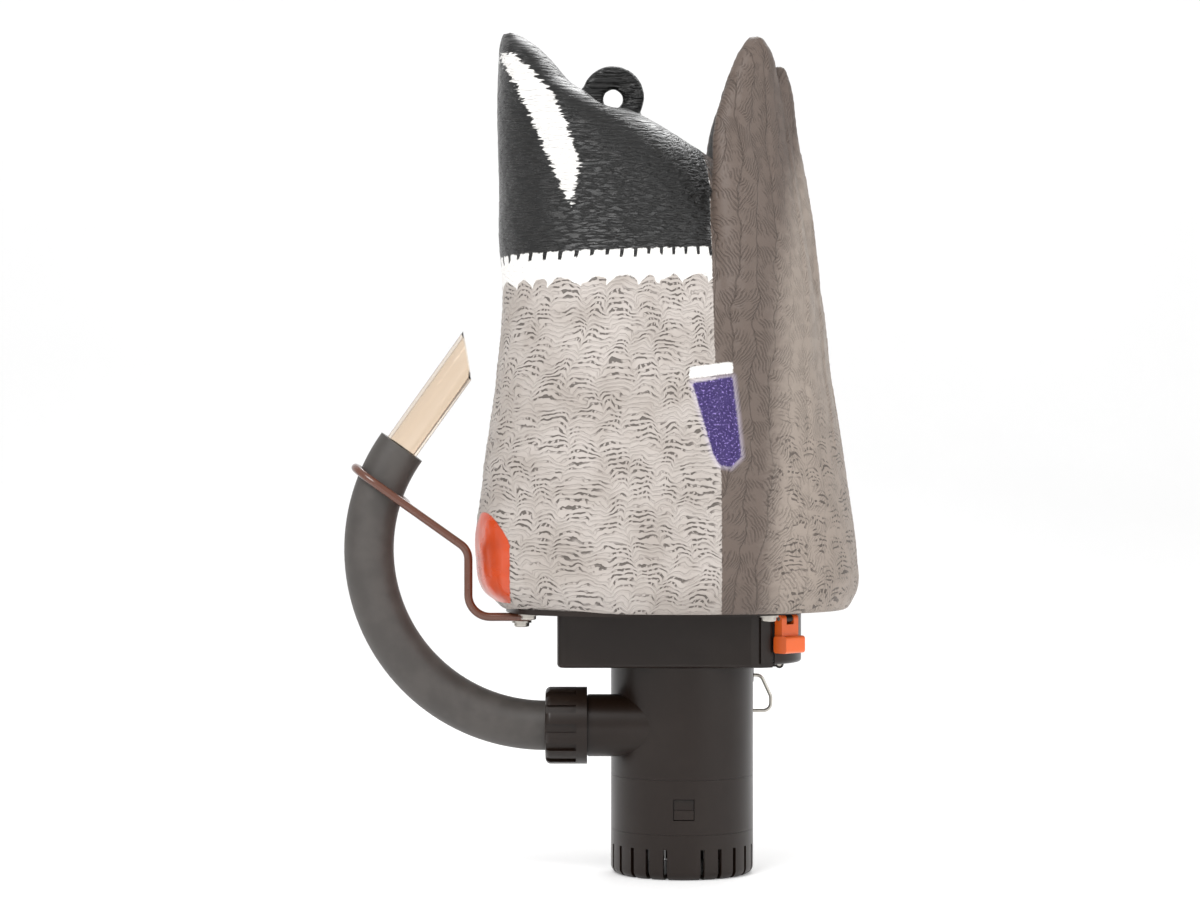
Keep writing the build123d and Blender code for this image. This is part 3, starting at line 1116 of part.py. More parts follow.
nozzle_radius = HOSE_BORE_RADIUS - SEAM
nozzle_start = HOSE_BEND_ANGLE - NOZZLE_INSERTED_ANGLE
hose_end = Vector(*bend_point(HOSE_BEND_ANGLE))
hose_end_direction = Vector(*bend_direction(HOSE_BEND_ANGLE))
outer_side = hose_end_direction.cross(Vector(0, 1, 0))
cut_direction = hose_end_direction * cos(radians(NOZZLE_CUT_ANGLE)) - outer_side * sin(
    radians(NOZZLE_CUT_ANGLE)
)
nozzle_tip = hose_end + hose_end_direction * NOZZLE_LONG_SIDE + outer_side * nozzle_radius
with BuildPart() as nozzle:
    with BuildLine(Plane.XZ.offset(-OUTLET_Y)) as nozzle_path:
        CenterArc(
            (HOSE_BEND_START_X, BEND_CENTRE_Z),
            HOSE_BEND_RADIUS,
            270 - nozzle_start,
            -NOZZLE_INSERTED_ANGLE,
        )
        nozzle_far = hose_end + hose_end_direction * (NOZZLE_LONG_SIDE + nozzle_radius)
        Line((hose_end.X, hose_end.Z), (nozzle_far.X, nozzle_far.Z))
    with BuildSketch(Plane(origin=bend_point(nozzle_start), z_dir=bend_direction(nozzle_start))):
        Circle(nozzle_radius)
        Circle(nozzle_radius - NOZZLE_WALL, mode=Mode.SUBTRACT)
    sweep(path=nozzle_path.wires()[0])
    with BuildSketch(Plane(origin=nozzle_tip, z_dir=cut_direction)):
        Rectangle(8 * nozzle_radius, 8 * nozzle_radius)
    extrude(amount=8 * nozzle_radius, mode=Mode.SUBTRACT)
save(nozzle.part, "nozzle")

# ---------------------------------------------------------------- wire bracket
loop_centre = Vector(*bend_point(LOOP_AT_ANGLE))
stem_direction = Vector(cos(radians(LOOP_TILT)), 0, -sin(radians(LOOP_TILT)))
loop_plane = Plane(
    origin=loop_centre, x_dir=stem_direction, z_dir=stem_direction.cross(Vector(0, 1, 0))
)
stem_start = loop_centre - Vector(0, LOOP_RADIUS, 0)
corner_fall = (STEM_DOWN_X - stem_start.X) * sin(radians(LOOP_TILT)) / cos(radians(LOOP_TILT))
stem_corner = Vector(STEM_DOWN_X, STEM_Y, stem_start.Z - corner_fall)
upper_turn = 90 - LOOP_TILT
upper_setback = STEM_UPPER_BEND * sin(radians(upper_turn) / 2) / cos(radians(upper_turn) / 2)
upper_start = stem_corner - stem_direction * upper_setback
with BuildPart() as hose_bracket:
    with BuildLine(loop_plane) as loop_line:
        CenterArc((0, 0), LOOP_RADIUS, -90 - LOOP_SWEEP, LOOP_SWEEP)
    with BuildLine(Plane.XZ.offset(-STEM_Y)) as stem_line:
        slope = Line((stem_start.X, stem_start.Z), (upper_start.X, upper_start.Z))
        upper_bend = JernArc(slope @ 1, slope % 1, STEM_UPPER_BEND, -upper_turn)
        fall = Line(upper_bend @ 1, (STEM_DOWN_X, WIRE_Z + STEM_LOWER_BEND))
        lower_bend = JernArc(fall @ 1, fall % 1, STEM_LOWER_BEND, 90)
        Line(lower_bend @ 1, (EYE_CENTRE_X, WIRE_Z))
    with BuildLine(Plane.XY.offset(WIRE_Z)) as eye_line:
        CenterArc((EYE_CENTRE_X, EYE_Y), EYE_RADIUS, -90, EYE_SWEEP)
    wire_path = Wire([*loop_line.edges(), *stem_line.edges(), *eye_line.edges()])
    with BuildSketch(Plane(origin=wire_path @ 0, z_dir=wire_path % 0)):
        Circle(WIRE_RADIUS)
    sweep(path=wire_path)
save(hose_bracket.part, "hose_bracket")
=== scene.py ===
"""The looks of a feeding-duck decoy that floats over its battery box and bilge pump.

Metres, in the row frame: +Z up towards the tail, +X towards the duck's back, +Y towards its left
side. The duck's painted skin is shaped here. The hose, the nozzle and the hard parts keep their
CAD shape and take procedural finishes.
"""

from __future__ import annotations

import json
import logging
import math
from dataclasses import dataclass, field
from enum import Enum

import bmesh
import bpy
import numpy as np
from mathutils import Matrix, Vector, noise

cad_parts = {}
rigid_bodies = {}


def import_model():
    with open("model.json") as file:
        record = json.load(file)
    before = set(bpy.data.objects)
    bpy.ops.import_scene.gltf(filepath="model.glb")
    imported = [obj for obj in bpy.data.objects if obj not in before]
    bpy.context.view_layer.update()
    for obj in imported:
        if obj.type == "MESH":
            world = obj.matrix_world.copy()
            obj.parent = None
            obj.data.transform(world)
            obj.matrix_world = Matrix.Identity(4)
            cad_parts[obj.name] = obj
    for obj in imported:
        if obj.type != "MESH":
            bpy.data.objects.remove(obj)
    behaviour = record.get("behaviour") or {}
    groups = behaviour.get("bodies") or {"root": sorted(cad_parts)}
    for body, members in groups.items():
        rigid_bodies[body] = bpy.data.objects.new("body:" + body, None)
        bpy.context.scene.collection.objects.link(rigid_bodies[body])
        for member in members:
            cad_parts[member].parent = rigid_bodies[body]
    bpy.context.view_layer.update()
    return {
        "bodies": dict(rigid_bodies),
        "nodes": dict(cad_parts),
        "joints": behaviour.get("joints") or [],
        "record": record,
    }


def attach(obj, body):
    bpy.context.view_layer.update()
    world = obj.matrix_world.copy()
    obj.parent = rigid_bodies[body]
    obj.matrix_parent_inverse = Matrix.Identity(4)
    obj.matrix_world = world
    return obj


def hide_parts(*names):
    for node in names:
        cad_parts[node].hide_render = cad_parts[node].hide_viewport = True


MM = 0.001
LOG = logging.getLogger("decoy")
Colour = tuple[float, float, float, float]

# How used the moulded parts look and how deep the rubber's grain is, from 0 to 1.
WEAR = 0.5
GRAIN = 0.5

# Spacing of the painted and carved pattern, in mm.
FLANK_COLUMN = 14.5
FLANK_ROW = 2.6
FLANK_DOT = 2.9
FEATHER_WIDTH = 21.0
FEATHER_HEIGHT = 25.0
BARB = 2.9
TOOTH = 8.5
BAND_DEPTH = 13.2
TAIL_FEATHER_WIDTH = 13.0
TAIL_FEATHER_HEIGHT = 16.0
RIPPLE = 4.3
LAYER_LEAN = 0.12

# The lofted rings' spacing, and the radius of the dip across the rump, in mm.
LOFT_STEP = 2.5
SADDLE_RADIUS = 13.0
CURL_STEPS = 96


def shade(code: str) -> Colour:
    """Turns a hex colour into linear red, green, blue and alpha.

    Args:
        code: Six hex digits.

    Returns:
        The linear colour.
    """
    parts = [int(code[k : k + 2], 16) / 255 for k in (0, 2, 4)]
    linear = [c / 12.92 if c <= 0.04045 else ((c + 0.055) / 1.055) ** 2.4 for c in parts]
    return (*linear, 1.0)


class Zone(Enum):
    """Painted areas of the duck. Each is a vertex layer of signed distance to its edge, in mm."""

    WING = "zone_wing"
    BACK = "zone_back"
    TAIL = "zone_tail"
    STREAK = "zone_streak"
    FOOT = "zone_foot"
    SPECULUM = "zone_speculum"
    BAR = "zone_bar"
    BORDER = "zone_border"
    # Painted shade: the faces that turn inward between the wing tips, painted near black where
    # shade falls.
    INNER = "zone_inner_shade"


class NodeSheet:
    """Adds and joins shader nodes in one node tree."""

    def __init__(self, tree: bpy.types.NodeTree) -> None:
        """Keeps the tree that nodes are added to."""
        self.tree = tree

    def node(self, kind: str, inputs: dict | None = None, **settings) -> bpy.types.Node:
        """Adds a node.

        Args:
            kind: The node's type name.
            inputs: Socket name or index to a value, or to the output socket that feeds it.
            settings: Properties of the node.

        Returns:
            The new node.
        """
        made = self.tree.nodes.new(kind)
        for name, value in settings.items():
            setattr(made, name, value)
        self.feed(made, inputs or {})
        return made

    def feed(self, node: bpy.types.Node, inputs: dict) -> None:
        """Sets a node's inputs to values, or to the output sockets that feed them."""
        for name, value in inputs.items():
            if isinstance(value, bpy.types.NodeSocket):
                self.tree.links.new(value, node.inputs[name])
            else:
                node.inputs[name].default_value = value

    def math(self, operation: str, *values) -> bpy.types.NodeSocket:
        """Adds a Math node on the given values or sockets and returns its output."""
        return self.node("ShaderNodeMath", dict(enumerate(values)), operation=operation).outputs[0]

    def times(self, *values) -> bpy.types.NodeSocket:
        """Returns the product of two values."""
        return self.math("MULTIPLY", *values)

    def wave(self, value, length: float) -> bpy.types.NodeSocket:
        """Returns the sine of a value, repeating over length."""
        return self.math("SINE", self.times(value, 2 * math.pi / length))

    def ramp(self, value, low: float, high: float) -> bpy.types.NodeSocket:
        """Returns value rescaled so that low is 0 and high is 1, clamped and eased."""
        inputs = {"Value": value, "From Min": low, "From Max": high}
        made = self.node("ShaderNodeMapRange", inputs, interpolation_type="SMOOTHSTEP")
        return made.outputs["Result"]

    def mix(self, amount, first, second) -> bpy.types.NodeSocket:
        """Returns two colours mixed by amount."""
        inputs = {0: amount, 6: first, 7: second}
        return self.node("ShaderNodeMix", inputs, data_type="RGBA").outputs[2]

    def noise(self, vector, scale: float, detail: float = 3.0) -> bpy.types.NodeSocket:
        """Returns a noise value over the given coordinates."""
        inputs = {"Vector": vector, "Scale": scale, "Detail": detail}
        return self.node("ShaderNodeTexNoise", inputs).outputs["Fac"]

    def layer(self, name: str) -> bpy.types.NodeSocket:
        """Returns a vertex layer's value."""
        return self.node("ShaderNodeAttribute", attribute_name=name).outputs["Fac"]

    def mapped(self, vector, scale: tuple, rotation: tuple = (0, 0, 0)) -> bpy.types.NodeSocket:
        """Returns coordinates turned and then stretched."""
        inputs = {"Vector": vector, "Rotation": rotation, "Scale": scale}
        return self.node("ShaderNodeMapping", inputs).outputs[0]

    def bump(self, height, strength: float, distance: float) -> bpy.types.NodeSocket:
        """Returns a normal bent by a height.

        Args:
            height: The height's socket.
            strength: How much of it shows, from 0 to 1.
            distance: The height that 1 stands for, in mm.

        Returns:
            The normal.
        """
        inputs = {"Height": height, "Strength": strength, "Distance": distance * MM}
        return self.node("ShaderNodeBump", inputs).outputs["Normal"]


class SurfaceSheet(NodeSheet):
    """The node tree of a new material."""

    def __init__(self, name: str) -> None:
        """Makes the material, with its one shader."""
        self.material = bpy.data.materials.new(name)
        self.material.use_nodes = True
        super().__init__(self.material.node_tree)

    def finish(self, **inputs) -> bpy.types.Material:
        """Sets the shader's inputs, named with underscores for spaces, and returns the material."""
        shader = self.tree.nodes["Principled BSDF"]
        self.feed(shader, {name.replace("_", " "): value for name, value in inputs.items()})
        return self.material


class SharedEffects:
    """Builds the node groups that several materials use."""

    def __init__(self) -> None:
        """Builds each group once."""
        self.moulded = self._moulded()
        self.fine_grain = self._fine_grain()

    @staticmethod
    def _group(name: str, inputs: dict[str, float], outputs: list[str]) -> tuple:
        """Makes an empty group with float sockets.

        Args:
            name: The group's name.
            inputs: Input names and their first values.
            outputs: Output names.

        Returns:
            The tree, its input node, its output node and a sheet to add nodes with.
        """
        tree = bpy.data.node_groups.new(name, "ShaderNodeTree")
        for label, value in inputs.items():
            socket = tree.interface.new_socket(label, in_out="INPUT", socket_type="NodeSocketFloat")
            socket.default_value = value
        for label in outputs:
            tree.interface.new_socket(label, in_out="OUTPUT", socket_type="NodeSocketFloat")
        start = tree.nodes.new("NodeGroupInput")
        end = tree.nodes.new("NodeGroupOutput")
        return tree, start, end, NodeSheet(tree)

    def _moulded(self) -> bpy.types.NodeTree:
        """Moulded plastic: worn edges, dust in broad patches, fine scratches and a height."""
        tree, start, end, sheet = self._group(
            "Moulded surface", {"Wear": WEAR}, ["Edge", "Dust", "Scratch", "Height"]
        )
        place = sheet.node("ShaderNodeTexCoord").outputs["Object"]
        point = sheet.node("ShaderNodeNewGeometry").outputs["Pointiness"]
        rough = sheet.noise(place, 260.0)
        edge = sheet.times(sheet.ramp(point, 0.62, 0.8), sheet.ramp(rough, 0.35, 0.6))
        dust = sheet.ramp(sheet.noise(place, 28.0, 5.0), 0.45, 0.75)
        stretched = sheet.mapped(place, (1, 22, 1), (0.3, 0.5, 0.2))
        scratch = sheet.ramp(sheet.noise(stretched, 60.0, 2.0), 0.66, 0.72)
        for label, value in (("Edge", edge), ("Dust", dust), ("Scratch", scratch)):
            sheet.feed(end, {label: sheet.times(value, start.outputs["Wear"])})
        grain = sheet.noise(place, 900.0, 2.0)
        height = sheet.math("MULTIPLY_ADD", sheet.noise(place, 45.0), 0.6, grain)
        sheet.feed(end, {"Height": height})
        return tree

    def _fine_grain(self) -> bpy.types.NodeTree:
        """Fine grain for rubber and cast surfaces: a mask and a height."""
        tree, start, end, sheet = self._group("Fine grain", {"Amount": GRAIN}, ["Mask", "Height"])
        place = sheet.node("ShaderNodeTexCoord").outputs["Object"]
        cells = sheet.node("ShaderNodeTexVoronoi", {"Vector": place, "Scale": 1400.0})
        mask = sheet.ramp(sheet.noise(place, 90.0, 4.0), 0.35, 0.7)
        for label, value in (("Mask", mask), ("Height", cells.outputs["Distance"])):
            sheet.feed(end, {label: sheet.times(value, start.outputs["Amount"])})
        return tree


@dataclass(frozen=True)
class Finish:
    """A hard part's finish."""

    name: str
    colour: str
    roughness: float
    metallic: float = 0.0
    coat: float = 0.0
    bump: float = 0.03
    worn_colour: str = "6b5a4c"
    specular: float = 0.5

    def build(self, effects: SharedEffects) -> bpy.types.Material:
        """Builds the material.

        Args:
            effects: The shared node groups.

        Returns:
            The finished material.
        """
        sheet = SurfaceSheet(self.name)
        effect = sheet.node("ShaderNodeGroup", node_tree=effects.moulded).outputs
        edge = sheet.times(effect["Edge"], 0.35)
        worn = sheet.mix(edge, shade(self.colour), shade(self.worn_colour))
        lifted = sheet.math("MULTIPLY_ADD", effect["Dust"], 0.06, self.roughness)
        return sheet.finish(
            Base_Color=sheet.mix(sheet.times(effect["Dust"], 0.025), worn, shade("9c9186")),
            Roughness=sheet.math("MULTIPLY_ADD", effect["Scratch"], 0.1, lifted),
            Metallic=self.metallic,
            Coat_Weight=self.coat,
            Specular_IOR_Level=self.specular,
            Normal=sheet.bump(effect["Height"], self.bump, 0.4),
        )


@dataclass(frozen=True)
class RubberFinish:
    """A rubber or soft plastic finish with fine grain."""

    name: str
    colour: str
    roughness: float

    def build(self, effects: SharedEffects) -> bpy.types.Material:
        """Builds the material.

        Args:
            effects: The shared node groups.

        Returns:
            The finished material.
        """
        sheet = SurfaceSheet(self.name)
        effect = sheet.node("ShaderNodeGroup", node_tree=effects.fine_grain).outputs
        base = shade(self.colour)
        lighter = tuple(min(1.0, 1.6 * c + 0.004) for c in base[:3]) + (1.0,)
        return sheet.finish(
            Base_Color=sheet.mix(effect["Mask"], base, lighter),
            Roughness=sheet.math("MULTIPLY_ADD", effect["Mask"], 0.12, self.roughness),
            Normal=sheet.bump(effect["Height"], 0.06, 0.2),
        )


@dataclass(frozen=True)
class ClearTubeFinish:
    """Clear flexible tube, slightly yellowed, with painted shade where it is seen edge-on."""

    name: str = "Clear tube"
    tint: str = "f4e8da"

    def build(self, effects: SharedEffects) -> bpy.types.Material:
        """Builds the material.

        Args:
            effects: The shared node groups.

        Returns:
            The finished material.
        """
        sheet = SurfaceSheet(self.name)
        effect = sheet.node("ShaderNodeGroup", node_tree=effects.moulded).outputs
        dusty = sheet.mix(sheet.times(effect["Dust"], 0.2), shade(self.tint), shade("e8d8c6"))
        # Painted shade: darker brown where the tube is seen edge-on, in place of the refraction in
        # its walls.
        grazing_shade = sheet.node("ShaderNodeLayerWeight", {"Blend": 0.5}).outputs["Facing"]
        return sheet.finish(
            Base_Color=sheet.mix(sheet.ramp(grazing_shade, 0.5, 0.9), dusty, shade("7d6350")),
            Roughness=sheet.math("MULTIPLY_ADD", effect["Scratch"], 0.1, 0.06),
            Transmission_Weight=1.0,
            IOR=1.42,
            Normal=sheet.bump(effect["Height"], 0.02, 0.3),
        )


@dataclass(frozen=True)
class PlumageFinish:
    """The duck's paint: every zone's colour, painted shade among them, over embossed feather lines.
    """

    name: str = "Duck paint"
    flank: str = "b3aba5"
    flank_shadow: str = "a39a93"
    flank_dark: str = "3f3731"
    wing: str = "5d5048"
    wing_dark: str = "3a302a"
    back: str = "92867c"
    tail: str = "050505"
    white: str = "eceae7"
    foot: str = "c04418"
    speculum: str = "2a1659"

    def build(self) -> bpy.types.Material:
        """Builds the material and returns it."""
        sheet = SurfaceSheet(self.name)
        along = sheet.layer("feather_u")
        up = sheet.layer("feather_v")
        place = sheet.node("ShaderNodeCombineXYZ", {0: along, 1: up, 2: 0.0}).outputs[0]
        rows, dashes, arch = self._rows(sheet, place, along, up)
        barbs, shafts = self._barbs(sheet, place, along, up)
        ragged = sheet.math("MULTIPLY_ADD", sheet.noise(place, 0.35, 3.0), 2.4, -1.2)
        feathery = sheet.math("MULTIPLY_ADD", sheet.noise(place, 0.7, 2.0), 1.2, -0.6)

        tone = sheet.ramp(sheet.noise(place, 0.04, 3.0), 0.35, 0.7)
        colour = sheet.mix(tone, shade(self.flank), shade(self.flank_shadow))
        colour = sheet.mix(sheet.times(rows, 0.05), colour, shade(self.flank_dark))
        colour = sheet.mix(sheet.times(dashes, 0.85), colour, shade(self.flank_dark))
        in_wing = self._inside(sheet, Zone.WING, feathery, 0.25)
        wing_dark = shade(self.wing_dark)
        brown = sheet.mix(sheet.times(barbs, 0.4), shade(self.wing), wing_dark)
        brown = sheet.mix(sheet.times(shafts, 0.5), brown, wing_dark)
        low = sheet.ramp(sheet.math("MULTIPLY_ADD", ragged, 9.0, up), 262.0, 205.0)
        grey = sheet.mix(sheet.times(barbs, 0.18), shade(self.back), wing_dark)
        grey = sheet.mix(sheet.times(sheet.times(dashes, low), 0.8), grey, wing_dark)
        from_back = sheet.math("MULTIPLY_ADD", ragged, 3.0, sheet.layer(Zone.BACK.value))
        fade = sheet.ramp(from_back, -8.0, 9.0)
        colour = sheet.mix(in_wing, colour, sheet.mix(fade, brown, grey))
        band = self._band(sheet, arch, ragged)
        outside = sheet.math("SUBTRACT", 1.0, in_wing)
        colour = sheet.mix(sheet.times(band, outside), colour, shade(self.white))
        bar = self._inside(sheet, Zone.BAR, feathery, 0.5)
        colour = sheet.mix(bar, colour, shade(self.white))
        halo = self._inside(sheet, Zone.SPECULUM, 1.2, 1.6)
        colour = sheet.mix(sheet.times(halo, 0.35), colour, shade("d9d0ea"))
        spec = self._inside(sheet, Zone.SPECULUM, feathery, 0.6)
        sparkle = sheet.ramp(sheet.noise(place, 0.9, 2.0), 0.53, 0.72)
        purple = sheet.mix(sparkle, shade(self.speculum), shade("8c78bd"))
        colour = sheet.mix(spec, colour, purple)
        teeth = sheet.wave(along, TOOTH)
        uneven_teeth = sheet.times(sheet.noise(place, 0.11, 1.0), 7.0)
        hang = sheet.math("MULTIPLY_ADD", sheet.ramp(teeth, 0.6, 0.8), uneven_teeth, ragged)
        tail = self._inside(sheet, Zone.TAIL, hang, 0.4)
        strand_place = sheet.mapped(place, (0.11, 0.62, 1), (0, 0, 0.3))
        strands = sheet.ramp(sheet.noise(strand_place, 1.0, 3.0), 0.42, 0.6)
        black = sheet.mix(sheet.times(strands, 0.3), shade(self.tail), shade("1b1917"))
        colour = sheet.mix(tail, colour, black)
        plume = sheet.mapped(place, (0.18, 0.8, 1))
        hairs = sheet.math("MULTIPLY_ADD", sheet.noise(plume, 1.0, 2.0), 9.0, -4.6)
        streak = self._inside(sheet, Zone.STREAK, hairs, 0.5)
        colour = sheet.mix(sheet.times(streak, 0.95), colour, shade(self.white))
        # Painted shade: faces that turn inward between the wing tips are painted near black, where
        # shade falls.
        inner_shade = self._inside(sheet, Zone.INNER, ragged, 1.2)
        colour = sheet.mix(inner_shade, colour, shade("1a1614"))
        foot = self._inside(sheet, Zone.FOOT, 0.0, 0.3)
        cells = sheet.node(
            "ShaderNodeTexVoronoi", {"Vector": place, "Scale": 0.13}, feature="SMOOTH_F1"
        ).outputs["Distance"]
        # Painted shade: the orange darkens towards the recessed creases between the foot's scales,
        # where shade falls.
        orange = sheet.mix(sheet.ramp(cells, 0.3, 1.1), shade(self.foot), shade("a5360f"))
        colour = sheet.mix(foot, colour, orange)

        glossy = sheet.math("ADD", sheet.times(tail, 0.2), sheet.times(foot, 0.24))
        uneven = sheet.math("MULTIPLY_ADD", tone, 0.05, 0.5)
        carved = sheet.mix(in_wing, rows, sheet.math("MULTIPLY_ADD", shafts, 0.6, barbs))
        carved = sheet.mix(tail, carved, sheet.times(strands, 1.5))
        fine = sheet.times(sheet.noise(place, 2.2, 2.0), 0.25)
        relief = sheet.mix(foot, sheet.math("SUBTRACT", fine, carved), sheet.times(cells, -1.6))
        return sheet.finish(
            Base_Color=colour,
            Roughness=sheet.math("SUBTRACT", uneven, glossy),
            Normal=sheet.bump(relief, 0.75, 0.7),
        )

    def _columns(self, sheet: NodeSheet, place, along, wide: float, drift: float) -> tuple:
        """Divides the surface into wandering columns of feathers.

        Args:
            sheet: Where nodes are added.
            place: The surface coordinates, in mm.
            along: Distance round the body, in mm.
            wide: A column's width, in mm.
            drift: How far the columns wander sideways, in mm.

        Returns:
            The sockets of the place across the column, from -0.5 to 0.5, and of a random number
            that each column keeps.
        """
        wander = sheet.math("MULTIPLY_ADD", sheet.noise(place, 0.035, 3.0), drift, along)
        column = sheet.math("DIVIDE", wander, wide)
        across = sheet.math("SUBTRACT", sheet.math("FRACT", column), 0.5)
        number = sheet.math("FLOOR", column)
        chance = sheet.node(
            "ShaderNodeTexWhiteNoise", {"W": number}, noise_dimensions="1D"
        ).outputs["Value"]
        return across, chance

    def _rows(self, sheet: NodeSheet, place, along, up) -> tuple:
        """Short carved rows that arch over each flank feather, and the dashes painted in them.

        Args:
            sheet: Where nodes are added.
            place: The surface coordinates, in mm.
            along: Distance round the body, in mm.
            up: Height, in mm.

        Returns:
            The sockets of the rows' mask, the dashes' mask and the arch's drop, in mm.
        """
        across, chance = self._columns(sheet, place, along, FLANK_COLUMN, 42.0)
        arch = sheet.times(sheet.times(across, across), 11.0)
        shifted = sheet.math("MULTIPLY_ADD", chance, 27.0, sheet.math("ADD", up, arch))
        bent = sheet.math("MULTIPLY_ADD", sheet.noise(place, 0.09, 3.0), 9.0, shifted)
        rows = sheet.ramp(sheet.wave(bent, FLANK_ROW), 0.1, 0.8)
        dots = sheet.ramp(sheet.wave(across, FLANK_DOT / FLANK_COLUMN), -0.5, 0.0)
        long_dashes = sheet.ramp(sheet.noise(place, 0.21, 1.0), 0.52, 0.58)
        broken = sheet.math("MAXIMUM", dots, long_dashes)
        fraction = sheet.math("FRACT", sheet.math("DIVIDE", shifted, FEATHER_HEIGHT))
        feather = sheet.math("ABSOLUTE", sheet.math("SUBTRACT", fraction, 0.5))
        middle = sheet.ramp(sheet.math("ABSOLUTE", across), 0.46, 0.32)
        inside = sheet.times(middle, sheet.ramp(feather, 0.47, 0.36))
        patches = sheet.ramp(sheet.noise(place, 0.1, 2.0), 0.38, 0.5)
        painted = sheet.times(sheet.times(inside, patches), broken)
        return rows, sheet.times(sheet.ramp(rows, 0.25, 0.6), painted), arch

    def _barbs(self, sheet: NodeSheet, place, along, up) -> tuple:
        """Slanted barbs that meet at each long feather's shaft.

        Args:
            sheet: Where nodes are added.
            place: The surface coordinates, in mm.
            along: Distance round the body, in mm.
            up: Height, in mm.

        Returns:
            The sockets of the barbs' mask and of the shafts' and feather edges' mask.
        """
        leaning = sheet.math("MULTIPLY_ADD", up, LAYER_LEAN, along)
        across, chance = self._columns(sheet, place, leaning, FEATHER_WIDTH, 16.0)
        half = sheet.math("ABSOLUTE", across)
        slant = sheet.math("MULTIPLY_ADD", half, -34.0, sheet.math("MULTIPLY_ADD", chance, 9.0, up))
        bent = sheet.math("MULTIPLY_ADD", sheet.noise(place, 0.15, 3.0), 7.0, slant)
        barbs = sheet.ramp(sheet.wave(bent, BARB), 0.1, 0.95)
        patchy = sheet.ramp(sheet.noise(place, 0.14, 2.0), 0.4, 0.58)
        edges = sheet.ramp(half, 0.482, 0.497)
        shafts = sheet.math("MAXIMUM", sheet.ramp(half, 0.022, 0.006), edges)
        return sheet.times(barbs, patchy), shafts

    def _inside(self, sheet: NodeSheet, zone: Zone, wobble, soft: float) -> bpy.types.NodeSocket:
        """A zone's mask, with its edge moved by wobble and softened over soft mm."""
        moved = sheet.math("ADD", sheet.layer(zone.value), wobble)
        return sheet.ramp(moved, -soft, soft)

    def _band(self, sheet: NodeSheet, arch, ragged) -> bpy.types.NodeSocket:
        """The white band's mask: below the black tail, and scalloped by the feathers under it."""
        below = sheet.math("MULTIPLY_ADD", arch, 1.7, sheet.layer(Zone.BORDER.value))
        below = sheet.math("ADD", below, BAND_DEPTH)
        return sheet.ramp(sheet.math("MULTIPLY_ADD", ragged, 0.6, below), -0.5, 0.5)


class Shapes:
    """Numpy helpers for closed lofted meshes and for painted areas."""

    @staticmethod
    def resampled(rows: list[tuple], step: float) -> np.ndarray:
        """Sections at even heights, by a smooth curve through the given ones.

        Args:
            rows: Sections whose first number is the height, in mm.
            step: Spacing wanted, in mm.

        Returns:
            One row per section.
        """
        table = np.array(rows, float)
        heights = table[:, 0]
        count = max(4, int((heights[-1] - heights[0]) / step))
        wanted = np.linspace(heights[0], heights[-1], count)
        out = [wanted]
        for column in table.T[1:]:
            rise = np.gradient(column, heights)
            k = np.clip(np.searchsorted(heights, wanted, side="right") - 1, 0, len(heights) - 2)
            span = heights[k + 1] - heights[k]
            t = (wanted - heights[k]) / span
            out.append(
                (2 * t**3 - 3 * t**2 + 1) * column[k]
                + (t**3 - 2 * t**2 + t) * span * rise[k]
                + (3 * t**2 - 2 * t**3) * column[k + 1]
                + (t**3 - t**2) * span * rise[k + 1]
            )
        return np.array(out).T

    @staticmethod
    def lofted(name: str, rings: np.ndarray) -> bpy.types.Object:
        """A closed mesh through equal rings of points, with both ends capped.

        Args:
            name: The object's name.
            rings: Rings by points by three coordinates, in metres.

        Returns:
            The new object.
        """
        count, around = rings.shape[:2]
        middle = [rings[0].mean(0), rings[-1].mean(0)]
        points = np.vstack([rings.reshape(-1, 3), middle])
        faces = []
        for i in range(count - 1):
            for j in range(around):
                k = (j + 1) % around
                low, high = i * around, (i + 1) * around
                faces.append((low + j, low + k, high + k, high + j))
        for j in range(around):
            k = (j + 1) % around
            faces.append((count * around, k, j))
            faces.append((count * around + 1, (count - 1) * around + j, (count - 1) * around + k))
        mesh = bpy.data.meshes.new(name)
        mesh.from_pydata([tuple(p) for p in points], [], faces)
        made = bpy.data.objects.new(name, mesh)
        bpy.context.scene.collection.objects.link(made)
        return made

    @staticmethod
    def inside_polygon(x: np.ndarray, z: np.ndarray, corners: list[tuple]) -> np.ndarray:
        """Signed distance to a polygon's edge, positive inside.

        Args:
            x: First coordinate of each point.
            z: Second coordinate of each point.
            corners: The polygon's corners in order.

        Returns:
            One distance per point.
        """
        nearest = np.full(x.shape, 1e9)
        inside = np.zeros(x.shape, bool)
        for (ax, az), (bx, bz) in zip(corners, corners[1:] + corners[:1]):
            ex, ez = bx - ax, bz - az
            t = np.clip(((x - ax) * ex + (z - az) * ez) / (ex * ex + ez * ez), 0, 1)
            nearest = np.minimum(nearest, np.hypot(x - ax - t * ex, z - az - t * ez))
            crosses = (az > z) != (bz > z)
            inside ^= crosses & (x < ex * (z - az) / (ez if abs(ez) > 1e-9 else 1e-9) + ax)
        return np.where(inside, nearest, -nearest)

    @staticmethod
    def write_layer(mesh: bpy.types.Mesh, name: str, values: np.ndarray) -> None:
        """Stores one value per vertex as a named layer."""
        layer = mesh.attributes.new(name, "FLOAT", "POINT")
        layer.data.foreach_set("value", values.astype(np.float32))


